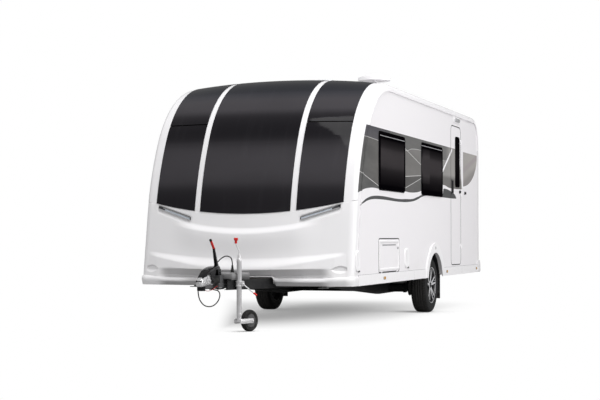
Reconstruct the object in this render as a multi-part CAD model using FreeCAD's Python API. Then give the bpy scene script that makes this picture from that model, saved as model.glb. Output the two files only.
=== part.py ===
"""A single-axle touring caravan, built from its real panels, glazing, chassis and running gear.

Frame, in millimetres: +X is the nearside (the door side), -Y points at the towing vehicle, +Z is up.
The origin is on the ground, midway between the coupling's nose and the rear bumper, on the centre line.
"""
import FreeCAD, Part
import os
from math import atan2, cos, pi, radians, sin, sqrt, tan

Vec = FreeCAD.Vector
OUT = "parts"

# ---------------------------------------------------------------- driving dimensions
OVERALL_LENGTH = 7500.0       # coupling nose to rear bumper
OVERALL_WIDTH = 2280.0        # over the side skirts
ROOF_HEIGHT = 2600.0          # top of the roof skin on the centre line
REAR_OVERHANG = 2800.0        # axle to rear bumper
NOSE_SETBACK = 1165.0         # coupling nose to the body's front at NOSE_HEIGHT
NOSE_HEIGHT = 1150.0          # where the straight lower front meets the first arc

BODY_LOW = 450.0              # lower edge of the walls and mouldings
FLOOR_LOW = 500.0             # underside of the floor
FLOOR_T = 44.0
WALL_T = 32.0                 # side walls, door and hatches
SHELL_T = 30.0                # front, roof and rear mouldings
SKIRT_T = 12.0                # how far skirts, arches and rails stand off the walls
SKIRT_LOW, SKIRT_HIGH = 425.0, 530.0

TYRE_R = 327.0
TYRE_W = 195.0
RIM_R = 205.0
TRACK = OVERALL_WIDTH - 290.0
ARCH_R = 398.0                # wheel arch opening
ARCH_TRIM_W = 105.0           # width of the trim around it

# front profile: lean from the vertical at the start, at the change of arc, in degrees, and the first arc
LEAN_LOW, LEAN_MID = 9.0, 28.0
FRONT_R = 2600.0
REAR_TOP_R = 400.0
FRONT_SAG = 120.0             # how far the front curves back at the side walls
REAR_SAG = 35.0
ROOF_CROWN = 55.0             # how far the roof falls at the side walls
CORNER_R = 62.0               # rounding where the mouldings turn into the walls
WRAP = 150.0                  # how far front and rear mouldings wrap on to the sides
WALL_LIFT = 80.0              # how much less the roof wraps on to them
CLEAR = 0.3                   # seat between curved pieces

# ---------------------------------------------------------------- values worked out from them
FRONT_END = -OVERALL_LENGTH / 2
REAR_END = OVERALL_LENGTH / 2
AXLE_Y = REAR_END - REAR_OVERHANG
NOSE_Y = FRONT_END + NOSE_SETBACK
WALL_X = OVERALL_WIDTH / 2 - SKIRT_T      # outer face of the side walls
INNER_X = WALL_X - WALL_T                 # inner face of the side walls
SKIRT_X = WALL_X + SKIRT_T
FLOOR_TOP = FLOOR_LOW + FLOOR_T
REAR_Y = REAR_END - 40.0                  # rear skin on the centre line
REAR_WALL_Y = REAR_Y - REAR_SAG - WRAP    # rear edge of the side walls
ARCH_OUT_R = ARCH_R + ARCH_TRIM_W

# ---------------------------------------------------------------- openings and fittings
# side, front edge and rear edge from the axle, low edge, high edge
SIDE_WINDOWS = (
    (1, -2570.0, -1480.0, 1405.0, 2015.0),
    (1, -700.0, 395.0, 1400.0, 2010.0),
    (-1, -2570.0, -1480.0, 1405.0, 2015.0),
    (-1, -1050.0, -250.0, 1405.0, 2015.0),
    (-1, 1650.0, 2250.0, 1480.0, 2015.0),
)
WINDOW_LAP = 18.0             # how far a pane laps over the wall around its opening
PANE_T = 10.0
WINDOW_R = 45.0

DOOR = (905.0, 1485.0, 560.0, 2330.0)
DOOR_LIGHT = (1150.0, 1395.0, 1555.0, 2205.0)
SIDE_LOCKER = (-2560.0, -1730.0, 545.0, 885.0)
CASSETTE_HATCH = (1700.0, 2080.0, 560.0, 950.0)
DOOR_R = 70.0
HATCH_R = 22.0
# side, opening, corner radius of the leaf
HATCHES = (
    (1, DOOR, DOOR_R),
    (1, SIDE_LOCKER, HATCH_R),
    (-1, CASSETTE_HATCH, HATCH_R),
)
HATCH_GAP = 5.0
FRIDGE_VENTS = ((-150.0, 300.0, 880.0, 1060.0), (-150.0, 300.0, 1560.0, 1740.0))

# first and second edge of each front pane, from the centre line
CENTRE_PANE = (-482.0, 482.0)
SIDE_PANE = (542.0, WALL_X - 124.0)
PANE_FOOT = 1140.0            # the panes' lower edge on the centre line
PANE_FOOT_RISE = 115.0        # how far that edge rises at PANE_REACH
PANE_REACH = WALL_X - 118.0
PANE_TOP_Y = NOSE_Y + 1345.0  # the dark glazing ends here, on the roof
SPLIT_Z = 2075.0              # where the side panes meet the fixed panels above them
SPLIT_GAP = 10.0
PANE_PROUD = 5.0
PANE_DEPTH = 12.0
ROOF_SEAM_Y = NOSE_Y + 1500.0
REAR_SEAM_Z = 2100.0
FOOT_GAP = 8.0                # the lower front panel ends this far below the panes

# x from, x to, y from, y to
ROOFLIGHTS = (
    (-400.0, 400.0, NOSE_Y + 1700.0, NOSE_Y + 2200.0),
    (-200.0, 200.0, AXLE_Y - 350.0, AXLE_Y + 50.0),
    (-200.0, 200.0, AXLE_Y + 1750.0, AXLE_Y + 2150.0),
)
AERIAL = (WALL_X - 328.0, AXLE_Y - 1550.0)
AERIAL_R = 180.0
SIDE_MARKERS = (-2360.0, 630.0, 2480.0)   # from the axle
AWNING_LIGHT = (AXLE_Y + 1120.0, AXLE_Y + 1300.0, 2395.0, 2445.0)
# x, z of the lamp's corners
FRONT_LAMP = ((WALL_X - 540.0, 1080.0), (WALL_X - 156.0, 1200.0), (WALL_X - 160.0, 1228.0), (WALL_X - 536.0, 1106.0))
CORNER_POD = (WALL_X - 122.0, 588.0, 84.0, 38.0)    # x and z of its centre, half its width and height

# ---------------------------------------------------------------- chassis and running gear
RAIL_X = WALL_X - 508.0       # outer face of the main rails
RAIL_FLANGE = 45.0
RAIL_T = 5.0
RAIL_FRONT_Y = NOSE_Y + 635.0 # where the main rails meet the drawbar rails
RAIL_REAR_Y = REAR_END - 300.0
A_RAIL_FRONT = (94.0, FRONT_END + 490.0)  # outer face of a drawbar rail at its front end
A_RAIL_LOW = 405.0
AXLE_TUBE = (AXLE_Y - 170.0, 300.0)       # y and z of the axle tube
AXLE_TUBE_R = 52.0
ARM_X = TRACK / 2 - 215.0      # inner face of the trailing arms
STUB_R = 20.0                 # stub axles, running in the drums
SHAFT_Z = 490.0               # centre of the overrun shaft
BALL = (0.0, FRONT_END + 68.0, 437.0)     # centre of the towing ball in the socket
BALL_R = 25.5
JOCKEY = (170.0, FRONT_END + 600.0)        # the jockey tube's axis
JOCKEY_TUBE_R = 24.0
JOCKEY_R = 105.0
JOCKEY_W = 60.0
JOCKEY_TRAIL = 150.0
JOCKEY_TURN = 20.0            # how far the castor stands turned, in degrees
JOCKEY_TOP = 705.0

# y of the steady's pivot, and which way its leg points when folded
STEADIES = (
    ("front", AXLE_Y - 2690.0, -1),
    ("rear", AXLE_Y + 2010.0, 1),
)
STEADY_X = RAIL_X + 80.0
STEADY_Z = 418.0
STEADY_LEN = 420.0


# ---------------------------------------------------------------- small builders
def box(x0, x1, y0, y1, z0, z1):
    """A box from its six faces' places."""
    return Part.makeBox(x1 - x0, y1 - y0, z1 - z0, Vec(x0, y0, z0))


def rod(start, end, r):
    """A round bar between two points."""
    a, b = Vec(*start), Vec(*end)
    return Part.makeCylinder(r, (b - a).Length, a, b - a)


def cone(start, end, r0, r1):
    """A tapered round bar between two points."""
    a, b = Vec(*start), Vec(*end)
    return Part.makeCone(r0, r1, (b - a).Length, a, b - a)


def prism(points, direction):
    """Points in space, closed and swept along a direction."""
    wire = Part.makePolygon([Vec(*p) for p in points] + [Vec(*points[0])])
    return Part.Face(wire).extrude(Vec(*direction))


def plate(axis, u0, u1, v0, v1, r, lo, hi):
    """A round-cornered plate from lo to hi along an axis; u and v are the other two axes in X, Y, Z order."""
    block = {"X": (lo, hi, u0, u1, v0, v1), "Y": (u0, u1, lo, hi, v0, v1), "Z": (u0, u1, v0, v1, lo, hi)}[axis]
    solid = box(*block)
    along = {"X": Vec(1, 0, 0), "Y": Vec(0, 1, 0), "Z": Vec(0, 0, 1)}[axis]
    edges = [e for e in solid.Edges if abs(e.tangentAt(e.FirstParameter).dot(along)) > 0.9]
    return solid.makeFillet(r, edges)


def mirrored(shape):
    """The same piece on the offside."""
    return shape.mirror(Vec(0, 0, 0), Vec(1, 0, 0))


def on_side(shape, side):
    """side 1 is the nearside, side -1 the offside."""
    return shape if side > 0 else mirrored(shape)


def both(*shapes):
    """Pieces and their mirror images, as one compound."""
    return Part.makeCompound([s for shape in shapes for s in (shape, mirrored(shape))])


def save(name, *shapes):
    """Writes a node's solids to parts/NAME.step."""
    solids = [s for shape in shapes for s in shape.Solids]
    for s in solids:
        if not s.isValid() or s.Volume <= 0:
            print("CHECK", name, "valid", s.isValid(), "volume", round(s.Volume))
    made = solids[0] if len(solids) == 1 else Part.makeCompound(solids)
    made.exportStep(os.path.join(OUT, name + ".step"))
    b = made.optimalBoundingBox(False)
    print(f"{name:24s} {len(solids)} solids  x {b.XMin:8.1f} {b.XMax:8.1f}  y {b.YMin:8.1f} {b.YMax:8.1f}"
          f"  z {b.ZMin:7.1f} {b.ZMax:7.1f}")


# ---------------------------------------------------------------- body form
def body_outline(x, inset=0.0, bottom=BODY_LOW):
    """The body's outline in the plane X=x, moved inwards by inset: a wire of lines and arcs."""
    share = (x / WALL_X) ** 2
    front, rear = NOSE_Y + FRONT_SAG * share, REAR_Y - REAR_SAG * share
    drop = ROOF_CROWN * share
    low, mid = radians(LEAN_LOW), radians(LEAN_MID)
    z0 = NOSE_HEIGHT - drop
    c1y, c1z = front + FRONT_R * cos(low), z0 - FRONT_R * sin(low)
    top = ROOF_HEIGHT - drop
    joint_y, joint_z = c1y - FRONT_R * cos(mid), c1z + FRONT_R * sin(mid)
    r2 = (top - joint_z) / (1 - sin(mid))
    c2y, c2z = joint_y + r2 * cos(mid), top - r2

    def on_arc(cy, cz, r, lean):
        return Vec(x, cy - (r - inset) * cos(lean), cz + (r - inset) * sin(lean))
    start = on_arc(c1y, c1z, FRONT_R, low)
    joint = on_arc(c1y, c1z, FRONT_R, mid)
    front_top = Vec(x, c2y, top - inset)
    rc = REAR_TOP_R
    share_45 = (rc - inset) * sqrt(0.5)
    rear_top = Vec(x, rear - rc, top - inset)
    rear_mid = Vec(x, rear - rc + share_45, top - rc + share_45)
    rear_low = Vec(x, rear - inset, top - rc)
    foot = Vec(x, start.y - (start.z - bottom) * tan(low), bottom)
    heel = Vec(x, rear - inset, bottom)
    edges = [
        Part.makeLine(foot, start),
        Part.Arc(start, on_arc(c1y, c1z, FRONT_R, (low + mid) / 2), joint).toShape(),
        Part.Arc(joint, on_arc(c2y, c2z, r2, (mid + pi / 2) / 2), front_top).toShape(),
        Part.makeLine(front_top, rear_top),
        Part.Arc(rear_top, rear_mid, rear_low).toShape(),
        Part.makeLine(rear_low, heel),
        Part.makeLine(heel, foot),
    ]
    return Part.Wire(edges)


def body_form(half_width, inset=0.0, bottom=BODY_LOW):
    """The whole body as a solid between -half_width and +half_width, its skin moved inwards by inset."""
    sections = [body_outline(x, inset, bottom) for x in (-half_width, 0.0, half_width)]
    return Part.makeLoft(sections, True, False)


def rounded_form(half_width=WALL_X, inset=0.0, bottom=BODY_LOW, r=CORNER_R):
    """The body form with its front, roof and rear rounded into the flat sides."""
    form = body_form(half_width, inset, bottom)
    edges = []
    for e in form.Edges:
        xs = [v.Point.x for v in e.Vertexes]
        zs = [v.Point.z for v in e.Vertexes]
        if abs(abs(sum(xs)) - 2 * half_width) < 1 and max(zs) > bottom + 5:
            edges.append(e)
    return form.makeFillet(r, edges)


def wall_slab(inset, bottom, thickness, x=WALL_X):
    """A flat slab in the shape of the body's outline, taken in by inset and lifted towards the roof."""
    slab = Part.Face(body_outline(WALL_X, inset, bottom - WALL_LIFT)).extrude(Vec(thickness, 0, 0))
    slab.translate(Vec(x - WALL_X, 0, WALL_LIFT))
    return slab


def side_opening(side, edges, r, grow=0.0):
    """A prism through one side wall for an opening given by its edges from the axle."""
    y0, y1, z0, z1 = edges
    cut = plate("X", AXLE_Y + y0 - grow, AXLE_Y + y1 + grow, z0 - grow, z1 + grow, r + grow,
                INNER_X - 60, WALL_X + 60)
    return on_side(cut, side)


def wheel_cylinder(r, x0, x1):
    """A cylinder on the axle's line, on the nearside."""
    return rod((x0, AXLE_Y, TYRE_R), (x1, AXLE_Y, TYRE_R), r)


def foot_space(reach, gap, height, rear):
    """The space from the panes' curved foot, moved down by gap, to a height, as wide as reach each way."""
    r = (PANE_REACH ** 2 + PANE_FOOT_RISE ** 2) / (2 * PANE_FOOT_RISE) + gap
    low = PANE_FOOT - gap
    end = low + r - sqrt(r * r - reach * reach)
    foot = [Vec(-reach, FRONT_END, end), Vec(0, FRONT_END, low), Vec(reach, FRONT_END, end)]
    far = [Vec(reach, FRONT_END, height), Vec(-reach, FRONT_END, height)]
    edges = [Part.Arc(*foot).toShape(), Part.makeLine(foot[2], far[0]), Part.makeLine(far[0], far[1]),
             Part.makeLine(far[1], foot[0])]
    return Part.Face(Part.Wire(edges)).extrude(Vec(0, rear - FRONT_END, 0))


def pane_prism(x0, x1):
    """The space of one front pane: between two planes, above its curved foot, up to the roof's edge."""
    return foot_space(PANE_REACH, 0.0, 4000, PANE_TOP_Y).common(box(x0, x1, -5000, 5000, 0, 4000))


FRONT_PANES = (CENTRE_PANE, SIDE_PANE, (-SIDE_PANE[1], -SIDE_PANE[0]))
A_RAIL_NOTCH = box(-420, 420, -5000, NOSE_Y + 400, 0, FLOOR_LOW + 5)


def front_lamp_prism():
    """The slanted space of the nearside front lamp, through the front moulding."""
    return prism([(x, -4000, z) for x, z in FRONT_LAMP], (0, 2200, 0))


def corner_pod_prism():
    """The lens-shaped space of the nearside corner recess: two arcs meeting at points."""
    x, z, w, h = CORNER_POD
    low = Part.Arc(Vec(x - w, -4000, z), Vec(x, -4000, z - h), Vec(x + w, -4000, z)).toShape()
    high = Part.Arc(Vec(x + w, -4000, z), Vec(x, -4000, z + h), Vec(x - w, -4000, z)).toShape()
    return Part.Face(Part.Wire([low, high])).extrude(Vec(0, 2200, 0))


def make_body(outer):
    """Side walls, mouldings, roof and floor."""
    inner = body_form(INNER_X, SHELL_T, BODY_LOW - 1)
    slab = wall_slab(WRAP, BODY_LOW, -WALL_T)
    shell = outer.cut(inner).cut(slab).cut(mirrored(slab))

    front_zone = box(-2000, 2000, -5000, ROOF_SEAM_Y, 0, 4000)
    rear_zone = box(-2000, 2000, REAR_WALL_Y - 5, 5000, 0, REAR_SEAM_Z)
    front = shell.common(front_zone)
    for pane in FRONT_PANES:
        front = front.cut(pane_prism(*pane))
    for name, space, proud in (("front_lamps", front_lamp_prism(), 8.0), ("corner_pods", corner_pod_prism(), 2.0)):
        skin = body_form(WALL_X, -proud).cut(body_form(WALL_X - 1, 12.0, BODY_LOW - 1))
        piece = skin.common(space)
        save(name, both(piece))
        front = front.cut(piece).cut(mirrored(piece))
    below_panes = foot_space(WALL_X + 200, FOOT_GAP, 0, ROOF_SEAM_Y)
    roof = shell.cut(front_zone).cut(rear_zone)
    for x0, x1, y0, y1 in ROOFLIGHTS:
        roof = roof.cut(plate("Z", x0, x1, y0, y1, 40, ROOF_HEIGHT - 200, ROOF_HEIGHT + 100))
    save("front_moulding", front.cut(below_panes))
    save("front_lower_panel", front.common(below_panes).cut(A_RAIL_NOTCH))
    save("roof", roof)
    save("rear_panel", shell.common(rear_zone))

    floor = inner.common(box(-INNER_X, INNER_X, -5000, 5000, FLOOR_LOW, FLOOR_TOP - 6))
    board = body_form(INNER_X, SHELL_T + 1.5, BODY_LOW - 1)
    floor = floor.fuse(board.common(box(-INNER_X, INNER_X, -5000, 5000, FLOOR_TOP - 6, FLOOR_TOP))).removeSplitter()
    well = wheel_cylinder(ARCH_R + SKIRT_T, WELL_X, SKIRT_X)
    save("floor", floor.cut(well).cut(mirrored(well)))

    for side, name in ((1, "side_wall_nearside"), (-1, "side_wall_offside")):
        wall = on_side(slab.cut(wheel_cylinder(ARCH_R, 500, 1500)), side)
        for at, y0, y1, z0, z1 in SIDE_WINDOWS:
            if at == side:
                wall = wall.cut(side_opening(side, (y0, y1, z0, z1), WINDOW_R, -WINDOW_LAP))
        for at, edges, r in HATCHES:
            if at == side:
                wall = wall.cut(side_opening(side, edges, r, HATCH_GAP))
        save(name, wall)


WELL_X = TRACK / 2 - TYRE_W / 2 - 40      # inner face of the wheel wells


def make_glazing(outer):
    """Front panes, the fixed dark panels above them, side windows and rooflights."""
    skin = body_form(WALL_X, -PANE_PROUD).cut(body_form(WALL_X - 1, PANE_DEPTH, BODY_LOW - 1))
    save("front_window_centre", skin.common(pane_prism(*CENTRE_PANE)))
    side_pane = skin.common(pane_prism(*SIDE_PANE))
    gap = box(-2000, 2000, -5000, 5000, SPLIT_Z - SPLIT_GAP / 2, SPLIT_Z + SPLIT_GAP / 2)
    lower, upper = sorted(side_pane.cut(gap).Solids, key=lambda s: s.CenterOfMass.z)
    save("front_side_glazing", both(lower, upper))

    panes = []
    for side, y0, y1, z0, z1 in SIDE_WINDOWS:
        pane = plate("X", AXLE_Y + y0, AXLE_Y + y1, z0, z1, WINDOW_R, WALL_X, WALL_X + PANE_T)
        lap = WINDOW_LAP + CLEAR
        plug = plate("X", AXLE_Y + y0 + lap, AXLE_Y + y1 - lap, z0 + lap, z1 - lap, WINDOW_R - WINDOW_LAP,
                     WALL_X - PANE_T, WALL_X)
        panes.append(on_side(pane.fuse(plug), side))
    save("side_windows", *panes)

    domes = []
    for x0, x1, y0, y1 in ROOFLIGHTS:
        lid = plate("Z", x0 - 30, x1 + 30, y0 - 30, y1 + 30, 60, ROOF_HEIGHT - 40, ROOF_HEIGHT + 42)
        plug = plate("Z", x0 + CLEAR, x1 - CLEAR, y0 + CLEAR, y1 - CLEAR, 40, ROOF_HEIGHT - 50, ROOF_HEIGHT + 5)
        domes.append(lid.cut(outer).fuse(plug))
    save("rooflights", *domes)


# ---------------------------------------------------------------- trims on the body
RAIL_W = 22.0                 # awning rail
RAIL_PROUD = 10.0
LENS_T = 4.0                  # how far the side markers stand off the skirts


def make_trims(outer):
    """Bumpers, skirts, wheel arches and wells, awning rails, lamps and roof fittings."""
    front_edge = NOSE_Y + FRONT_SAG + WRAP - 70
    long_outer = rounded_form(bottom=BODY_LOW - 60)
    front_bar = rounded_form(SKIRT_X, -40.0, SKIRT_LOW, 90.0).common(
        box(-2000, 2000, -5000, front_edge, SKIRT_LOW, SKIRT_HIGH))
    rear_edge = REAR_WALL_Y
    rear_bar = plate("Z", -SKIRT_X, SKIRT_X, rear_edge, REAR_END, 60, SKIRT_LOW, SKIRT_HIGH + 60)
    save("bumpers", front_bar.cut(long_outer).cut(A_RAIL_NOTCH), rear_bar.cut(long_outer))

    trim = wheel_cylinder(ARCH_OUT_R, WALL_X, SKIRT_X).cut(wheel_cylinder(ARCH_R - 6, 500, 1500))
    skirt = box(WALL_X, SKIRT_X - LENS_T, front_edge, rear_edge, SKIRT_LOW, SKIRT_HIGH)
    save("side_skirts", both(skirt.cut(wheel_cylinder(ARCH_OUT_R, 500, 1500))))
    save("wheel_arches", both(trim.cut(box(0, 2000, -5000, 5000, -1000, SKIRT_LOW))))
    well = wheel_cylinder(ARCH_R + SKIRT_T, WELL_X, INNER_X).cut(wheel_cylinder(ARCH_R, WELL_X + SKIRT_T, INNER_X))
    save("wheel_wells", both(well.cut(box(0, 2000, -5000, 5000, -1000, BODY_LOW))))

    rail = wall_slab(WRAP - RAIL_W / 2, BODY_LOW, RAIL_PROUD)
    rail = rail.cut(wall_slab(WRAP + RAIL_W / 2, BODY_LOW, RAIL_PROUD))
    rail = rail.cut(box(0, 2000, -5000, 5000, 0, SKIRT_HIGH + 90))
    save("awning_rails", both(rail.cut(box(0, 2000, REAR_WALL_Y - 100, 5000, 0, REAR_SEAM_Z))))

    cluster = plate("Y", WALL_X - 200, WALL_X - 75, 640, 1120, 30, REAR_Y - REAR_SAG - 30, REAR_END - 8)
    high = plate("Y", -200, 200, 2230, 2262, 10, REAR_Y - 100, REAR_Y + 10)
    save("rear_lamps", both(cluster.cut(outer)), high.cut(outer))
    markers = [plate("X", AXLE_Y + y - 45, AXLE_Y + y + 45, 463, 493, 10, SKIRT_X - LENS_T, SKIRT_X)
               for y in SIDE_MARKERS]
    y0, y1, z0, z1 = AWNING_LIGHT
    save("side_lamps", both(*markers), plate("X", y0, y1, z0, z1, 12, WALL_X, WALL_X + 10))

    x, y = AERIAL
    stem = rod((x, y, ROOF_HEIGHT - 60), (x, y, ROOF_HEIGHT + 60), 32).cut(outer)
    disc = rod((x, y, ROOF_HEIGHT + 50), (x, y, ROOF_HEIGHT + 82), AERIAL_R)
    crown = cone((x, y, ROOF_HEIGHT + 82), (x, y, ROOF_HEIGHT + 118), AERIAL_R, 90)
    save("tv_aerial", stem.fuse(disc).fuse(crown).removeSplitter())

    vents = []
    for y0, y1, z0, z1 in FRIDGE_VENTS:
        grille = plate("X", AXLE_Y + y0, AXLE_Y + y1, z0, z1, 12, WALL_X, WALL_X + 9)
        for n in range(5):
            z = z0 + 28 + n * 28
            grille = grille.cut(box(WALL_X + 4, WALL_X + 20, AXLE_Y + y0 + 20, AXLE_Y + y1 - 20, z, z + 12))
        vents.append(mirrored(grille))
    save("fridge_vents", *vents)


# ---------------------------------------------------------------- door and hatches
HINGE_R = 7.0
DOOR_HINGE = (WALL_X + 8.0, AXLE_Y + DOOR[1] + 5.0)
DOOR_HINGE_Z = (760.0, 1440.0, 2120.0)
HINGE_LEN = 60.0
HATCH_HINGE_R = 4.0
HINGE_DROP = 12.0             # how far a hatch hinge's fixed strap reaches down


def leaf(side, edges, r):
    """A door or hatch leaf, one wall thick."""
    y0, y1, z0, z1 = edges
    return on_side(plate("X", AXLE_Y + y0, AXLE_Y + y1, z0, z1, r, INNER_X, WALL_X), side)


def hatch_hinges(edges):
    """The fixed and the moving halves of a nearside hatch's two bottom hinges."""
    y0, y1, z0, _ = edges
    ax, az = WALL_X + HATCH_HINGE_R, z0 - HATCH_GAP / 2
    fixed, moving = [], []
    for y in (AXLE_Y + y0 + 70, AXLE_Y + y1 - 130):
        for shapes, start, low, high in ((fixed, y, az - HINGE_DROP, az), (moving, y + 30, az, z0 + 14)):
            barrel = rod((ax, start, az), (ax, start + 29.6, az), HATCH_HINGE_R)
            strap = box(WALL_X, WALL_X + 2.5, start, start + 29.6, low, high)
            shapes.append(barrel.fuse(strap).removeSplitter())
    return fixed, moving


def make_doors():
    """Entrance door with its light, fittings and hinges; locker door and toilet hatch."""
    door = leaf(1, DOOR, DOOR_R).cut(side_opening(1, DOOR_LIGHT, WINDOW_R, -WINDOW_LAP))
    save("entrance_door", door)
    y0, y1, z0, z1 = DOOR_LIGHT
    lap = WINDOW_LAP + CLEAR
    pane = plate("X", AXLE_Y + y0, AXLE_Y + y1, z0, z1, WINDOW_R, WALL_X, WALL_X + PANE_T)
    plug = plate("X", AXLE_Y + y0 + lap, AXLE_Y + y1 - lap, z0 + lap, z1 - lap, WINDOW_R - WINDOW_LAP,
                 WALL_X - PANE_T, WALL_X)
    save("door_window", pane.fuse(plug))

    hx, hy = DOOR_HINGE
    fixed, moving = [], []
    for z in DOOR_HINGE_Z:
        barrel = rod((hx, hy, z), (hx, hy, z + HINGE_LEN / 2 - 0.4), HINGE_R)
        strap = box(WALL_X, WALL_X + 3, hy + 3, hy + 36, z, z + HINGE_LEN / 2 - 0.4)
        web = box(WALL_X, hx, hy, hy + 6, z, z + HINGE_LEN / 2 - 0.4)
        fixed.append(barrel.fuse(strap).fuse(web).removeSplitter())
        z += HINGE_LEN / 2
        barrel = rod((hx, hy, z), (hx, hy, z + HINGE_LEN / 2), HINGE_R)
        strap = box(WALL_X, WALL_X + 3, hy - 40, hy - 6, z, z + HINGE_LEN / 2)
        web = box(WALL_X, hx, hy - 7, hy, z, z + HINGE_LEN / 2)
        moving.append(barrel.fuse(strap).fuse(web).removeSplitter())
    grip_y, grip_z = AXLE_Y + DOOR[0] + 45, 1455.0
    grip = plate("X", grip_y - 22, grip_y + 22, grip_z, grip_z + 190, 18, WALL_X, WALL_X + 8)
    bar = plate("X", grip_y - 12, grip_y + 12, grip_z + 15, grip_z + 175, 10, WALL_X + 8, WALL_X + 24)
    save("door_fittings", *moving, grip.fuse(bar))
    for side, name, edges in ((1, "side_locker_door", SIDE_LOCKER), (-1, "cassette_hatch", CASSETTE_HATCH)):
        still, turning = hatch_hinges(edges)
        fixed += [on_side(part, side) for part in still]
        flap = leaf(side, edges, HATCH_R)
        for part in turning:
            flap = flap.fuse(on_side(part, side))
        save(name, flap.removeSplitter())
    save("door_hinges", *fixed)


# ---------------------------------------------------------------- chassis
def channel_rail():
    """The nearside main rail: a channel open to the inside, deepest at the axle."""
    front, rear = RAIL_FRONT_Y, RAIL_REAR_Y
    # y, z of the lower edge
    lower = ((front, 400.0), (AXLE_Y - 700, 240.0), (AXLE_Y + 250, 240.0), (AXLE_Y + 900, 380.0), (rear, 400.0))
    solid = prism([(RAIL_X, front, FLOOR_LOW), (RAIL_X, rear, FLOOR_LOW)]
                  + [(RAIL_X, y, z) for y, z in reversed(lower)], (-RAIL_FLANGE, 0, 0))
    hollow = prism([(RAIL_X - RAIL_T, front - 1, FLOOR_LOW - RAIL_T), (RAIL_X - RAIL_T, rear + 1, FLOOR_LOW - RAIL_T)]
                   + [(RAIL_X - RAIL_T, y + (y == rear) - (y == front), z + RAIL_T) for y, z in reversed(lower)],
                   (-RAIL_FLANGE, 0, 0))
    rail = solid.cut(hollow)
    for n in range(6):
        y = AXLE_Y + 1150 + n * 230
        rail = rail.cut(rod((RAIL_X - 20, y, 450), (RAIL_X + 20, y, 450), 24))
    return rail


def drawbar_rail():
    """The nearside drawbar rail: a channel from the overrun housing to the main rail."""
    x0, y0 = A_RAIL_FRONT
    dx, dy = RAIL_X - x0, RAIL_FRONT_Y - y0
    length = sqrt(dx * dx + dy * dy)
    ux, uy = dx / length, dy / length
    reach = length + 60

    def section(x, low, high, depth):
        return [(x0 - uy * x, y0 + ux * x, low), (x0 - uy * x, y0 + ux * x, high),
                (x0 - uy * (x + depth), y0 + ux * (x + depth), high),
                (x0 - uy * (x + depth), y0 + ux * (x + depth), low)]
    solid = prism(section(0, A_RAIL_LOW, FLOOR_LOW, RAIL_FLANGE), (ux * reach, uy * reach, 0))
    hollow = prism(section(RAIL_T, A_RAIL_LOW + RAIL_T, FLOOR_LOW - RAIL_T, RAIL_FLANGE),
                   (ux * reach, uy * reach, 0))
    return solid.cut(hollow).cut(box(0, 2000, RAIL_FRONT_Y, 0, 0, 4000))


def hex_bar(x0, x1, y, z, r):
    """A six-sided bar along X."""
    points = [(x0, y + r * cos(radians(60 * n + 30)), z + r * sin(radians(60 * n + 30))) for n in range(6)]
    return prism(points, (x1 - x0, 0, 0))


def link_plate(x0, x1, a, b, ra, rb):
    """A plate along X with round ends about two points in the YZ plane."""
    (ya, za), (yb, zb) = a, b
    angle = atan2(zb - za, yb - ya)
    dy, dz = -sin(angle), cos(angle)
    body = prism([(x0, ya + ra * dy, za + ra * dz), (x0, yb + rb * dy, zb + rb * dz),
                  (x0, yb - rb * dy, zb - rb * dz), (x0, ya - ra * dy, za - ra * dz)], (x1 - x0, 0, 0))
    return body.fuse(rod((x0, ya, za), (x1, ya, za), ra)).fuse(rod((x0, yb, zb), (x1, yb, zb), rb)).removeSplitter()


def make_chassis():
    """Rails, axle, mudflaps and corner steadies."""
    ty, tz = AXLE_TUBE
    tube_cut = hex_bar(-900, 900, ty, tz, AXLE_TUBE_R)
    save("chassis_rails", both(channel_rail().cut(tube_cut)))
    save("drawbar_rails", both(drawbar_rail()))
    save("axle_tube", hex_bar(-ARM_X, ARM_X, ty, tz, AXLE_TUBE_R))

    arm = link_plate(ARM_X, ARM_X + 32, (ty, tz), (AXLE_Y, TYRE_R), 60, 46)
    stub = rod((ARM_X + 32, AXLE_Y, TYRE_R), (TRACK / 2 + 12, AXLE_Y, TYRE_R), STUB_R)
    back = rod((ARM_X + 32, AXLE_Y, TYRE_R), (ARM_X + 40, AXLE_Y, TYRE_R), 128)
    save("trailing_arms", both(arm.fuse(back).fuse(stub).removeSplitter()))
    flap_y = AXLE_Y + ARCH_R + 8
    flap = box(TRACK / 2 - TYRE_W / 2, INNER_X, flap_y, flap_y + 5, 150, FLOOR_LOW)
    save("mudflaps", both(flap))

    brackets = []
    for end, y, way in STEADIES:
        for side, name in ((1, "nearside"), (-1, "offside")):
            x = STEADY_X
            cheek = box(x - 40, x - 34, y - 26, y + 26, STEADY_Z - 18, FLOOR_LOW)
            other = cheek.translated(Vec(74, 0, 0))
            top = box(x - 40, x + 40, y - 26, y + 26, FLOOR_LOW - 6, FLOOR_LOW)
            pin = rod((x - 44, y, STEADY_Z), (x + 44, y, STEADY_Z), 7)
            brackets.append(on_side(cheek.fuse(other).fuse(top).fuse(pin).removeSplitter(), side))
            lo, hi = sorted((y - way * 20, y + way * (STEADY_LEN - 30)))
            leg = box(x - 27, x + 27, lo, hi, STEADY_Z - 22, STEADY_Z + 18)
            leg = leg.cut(box(x - 22, x + 22, lo - 1, hi + 1, STEADY_Z - 17, STEADY_Z + 19))
            leg = leg.cut(rod((x - 60, y, STEADY_Z), (x + 60, y, STEADY_Z), 8))
            foot_y = y + way * (STEADY_LEN - 35)
            lo, hi = sorted((foot_y, foot_y + way * 70))
            foot = plate("Z", x - 50, x + 50, lo, hi, 12, STEADY_Z - 28, STEADY_Z - 22)
            save(f"steady_leg_{end}_{name}", on_side(leg.fuse(foot).removeSplitter(), side))
    save("steady_brackets", *brackets)


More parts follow.
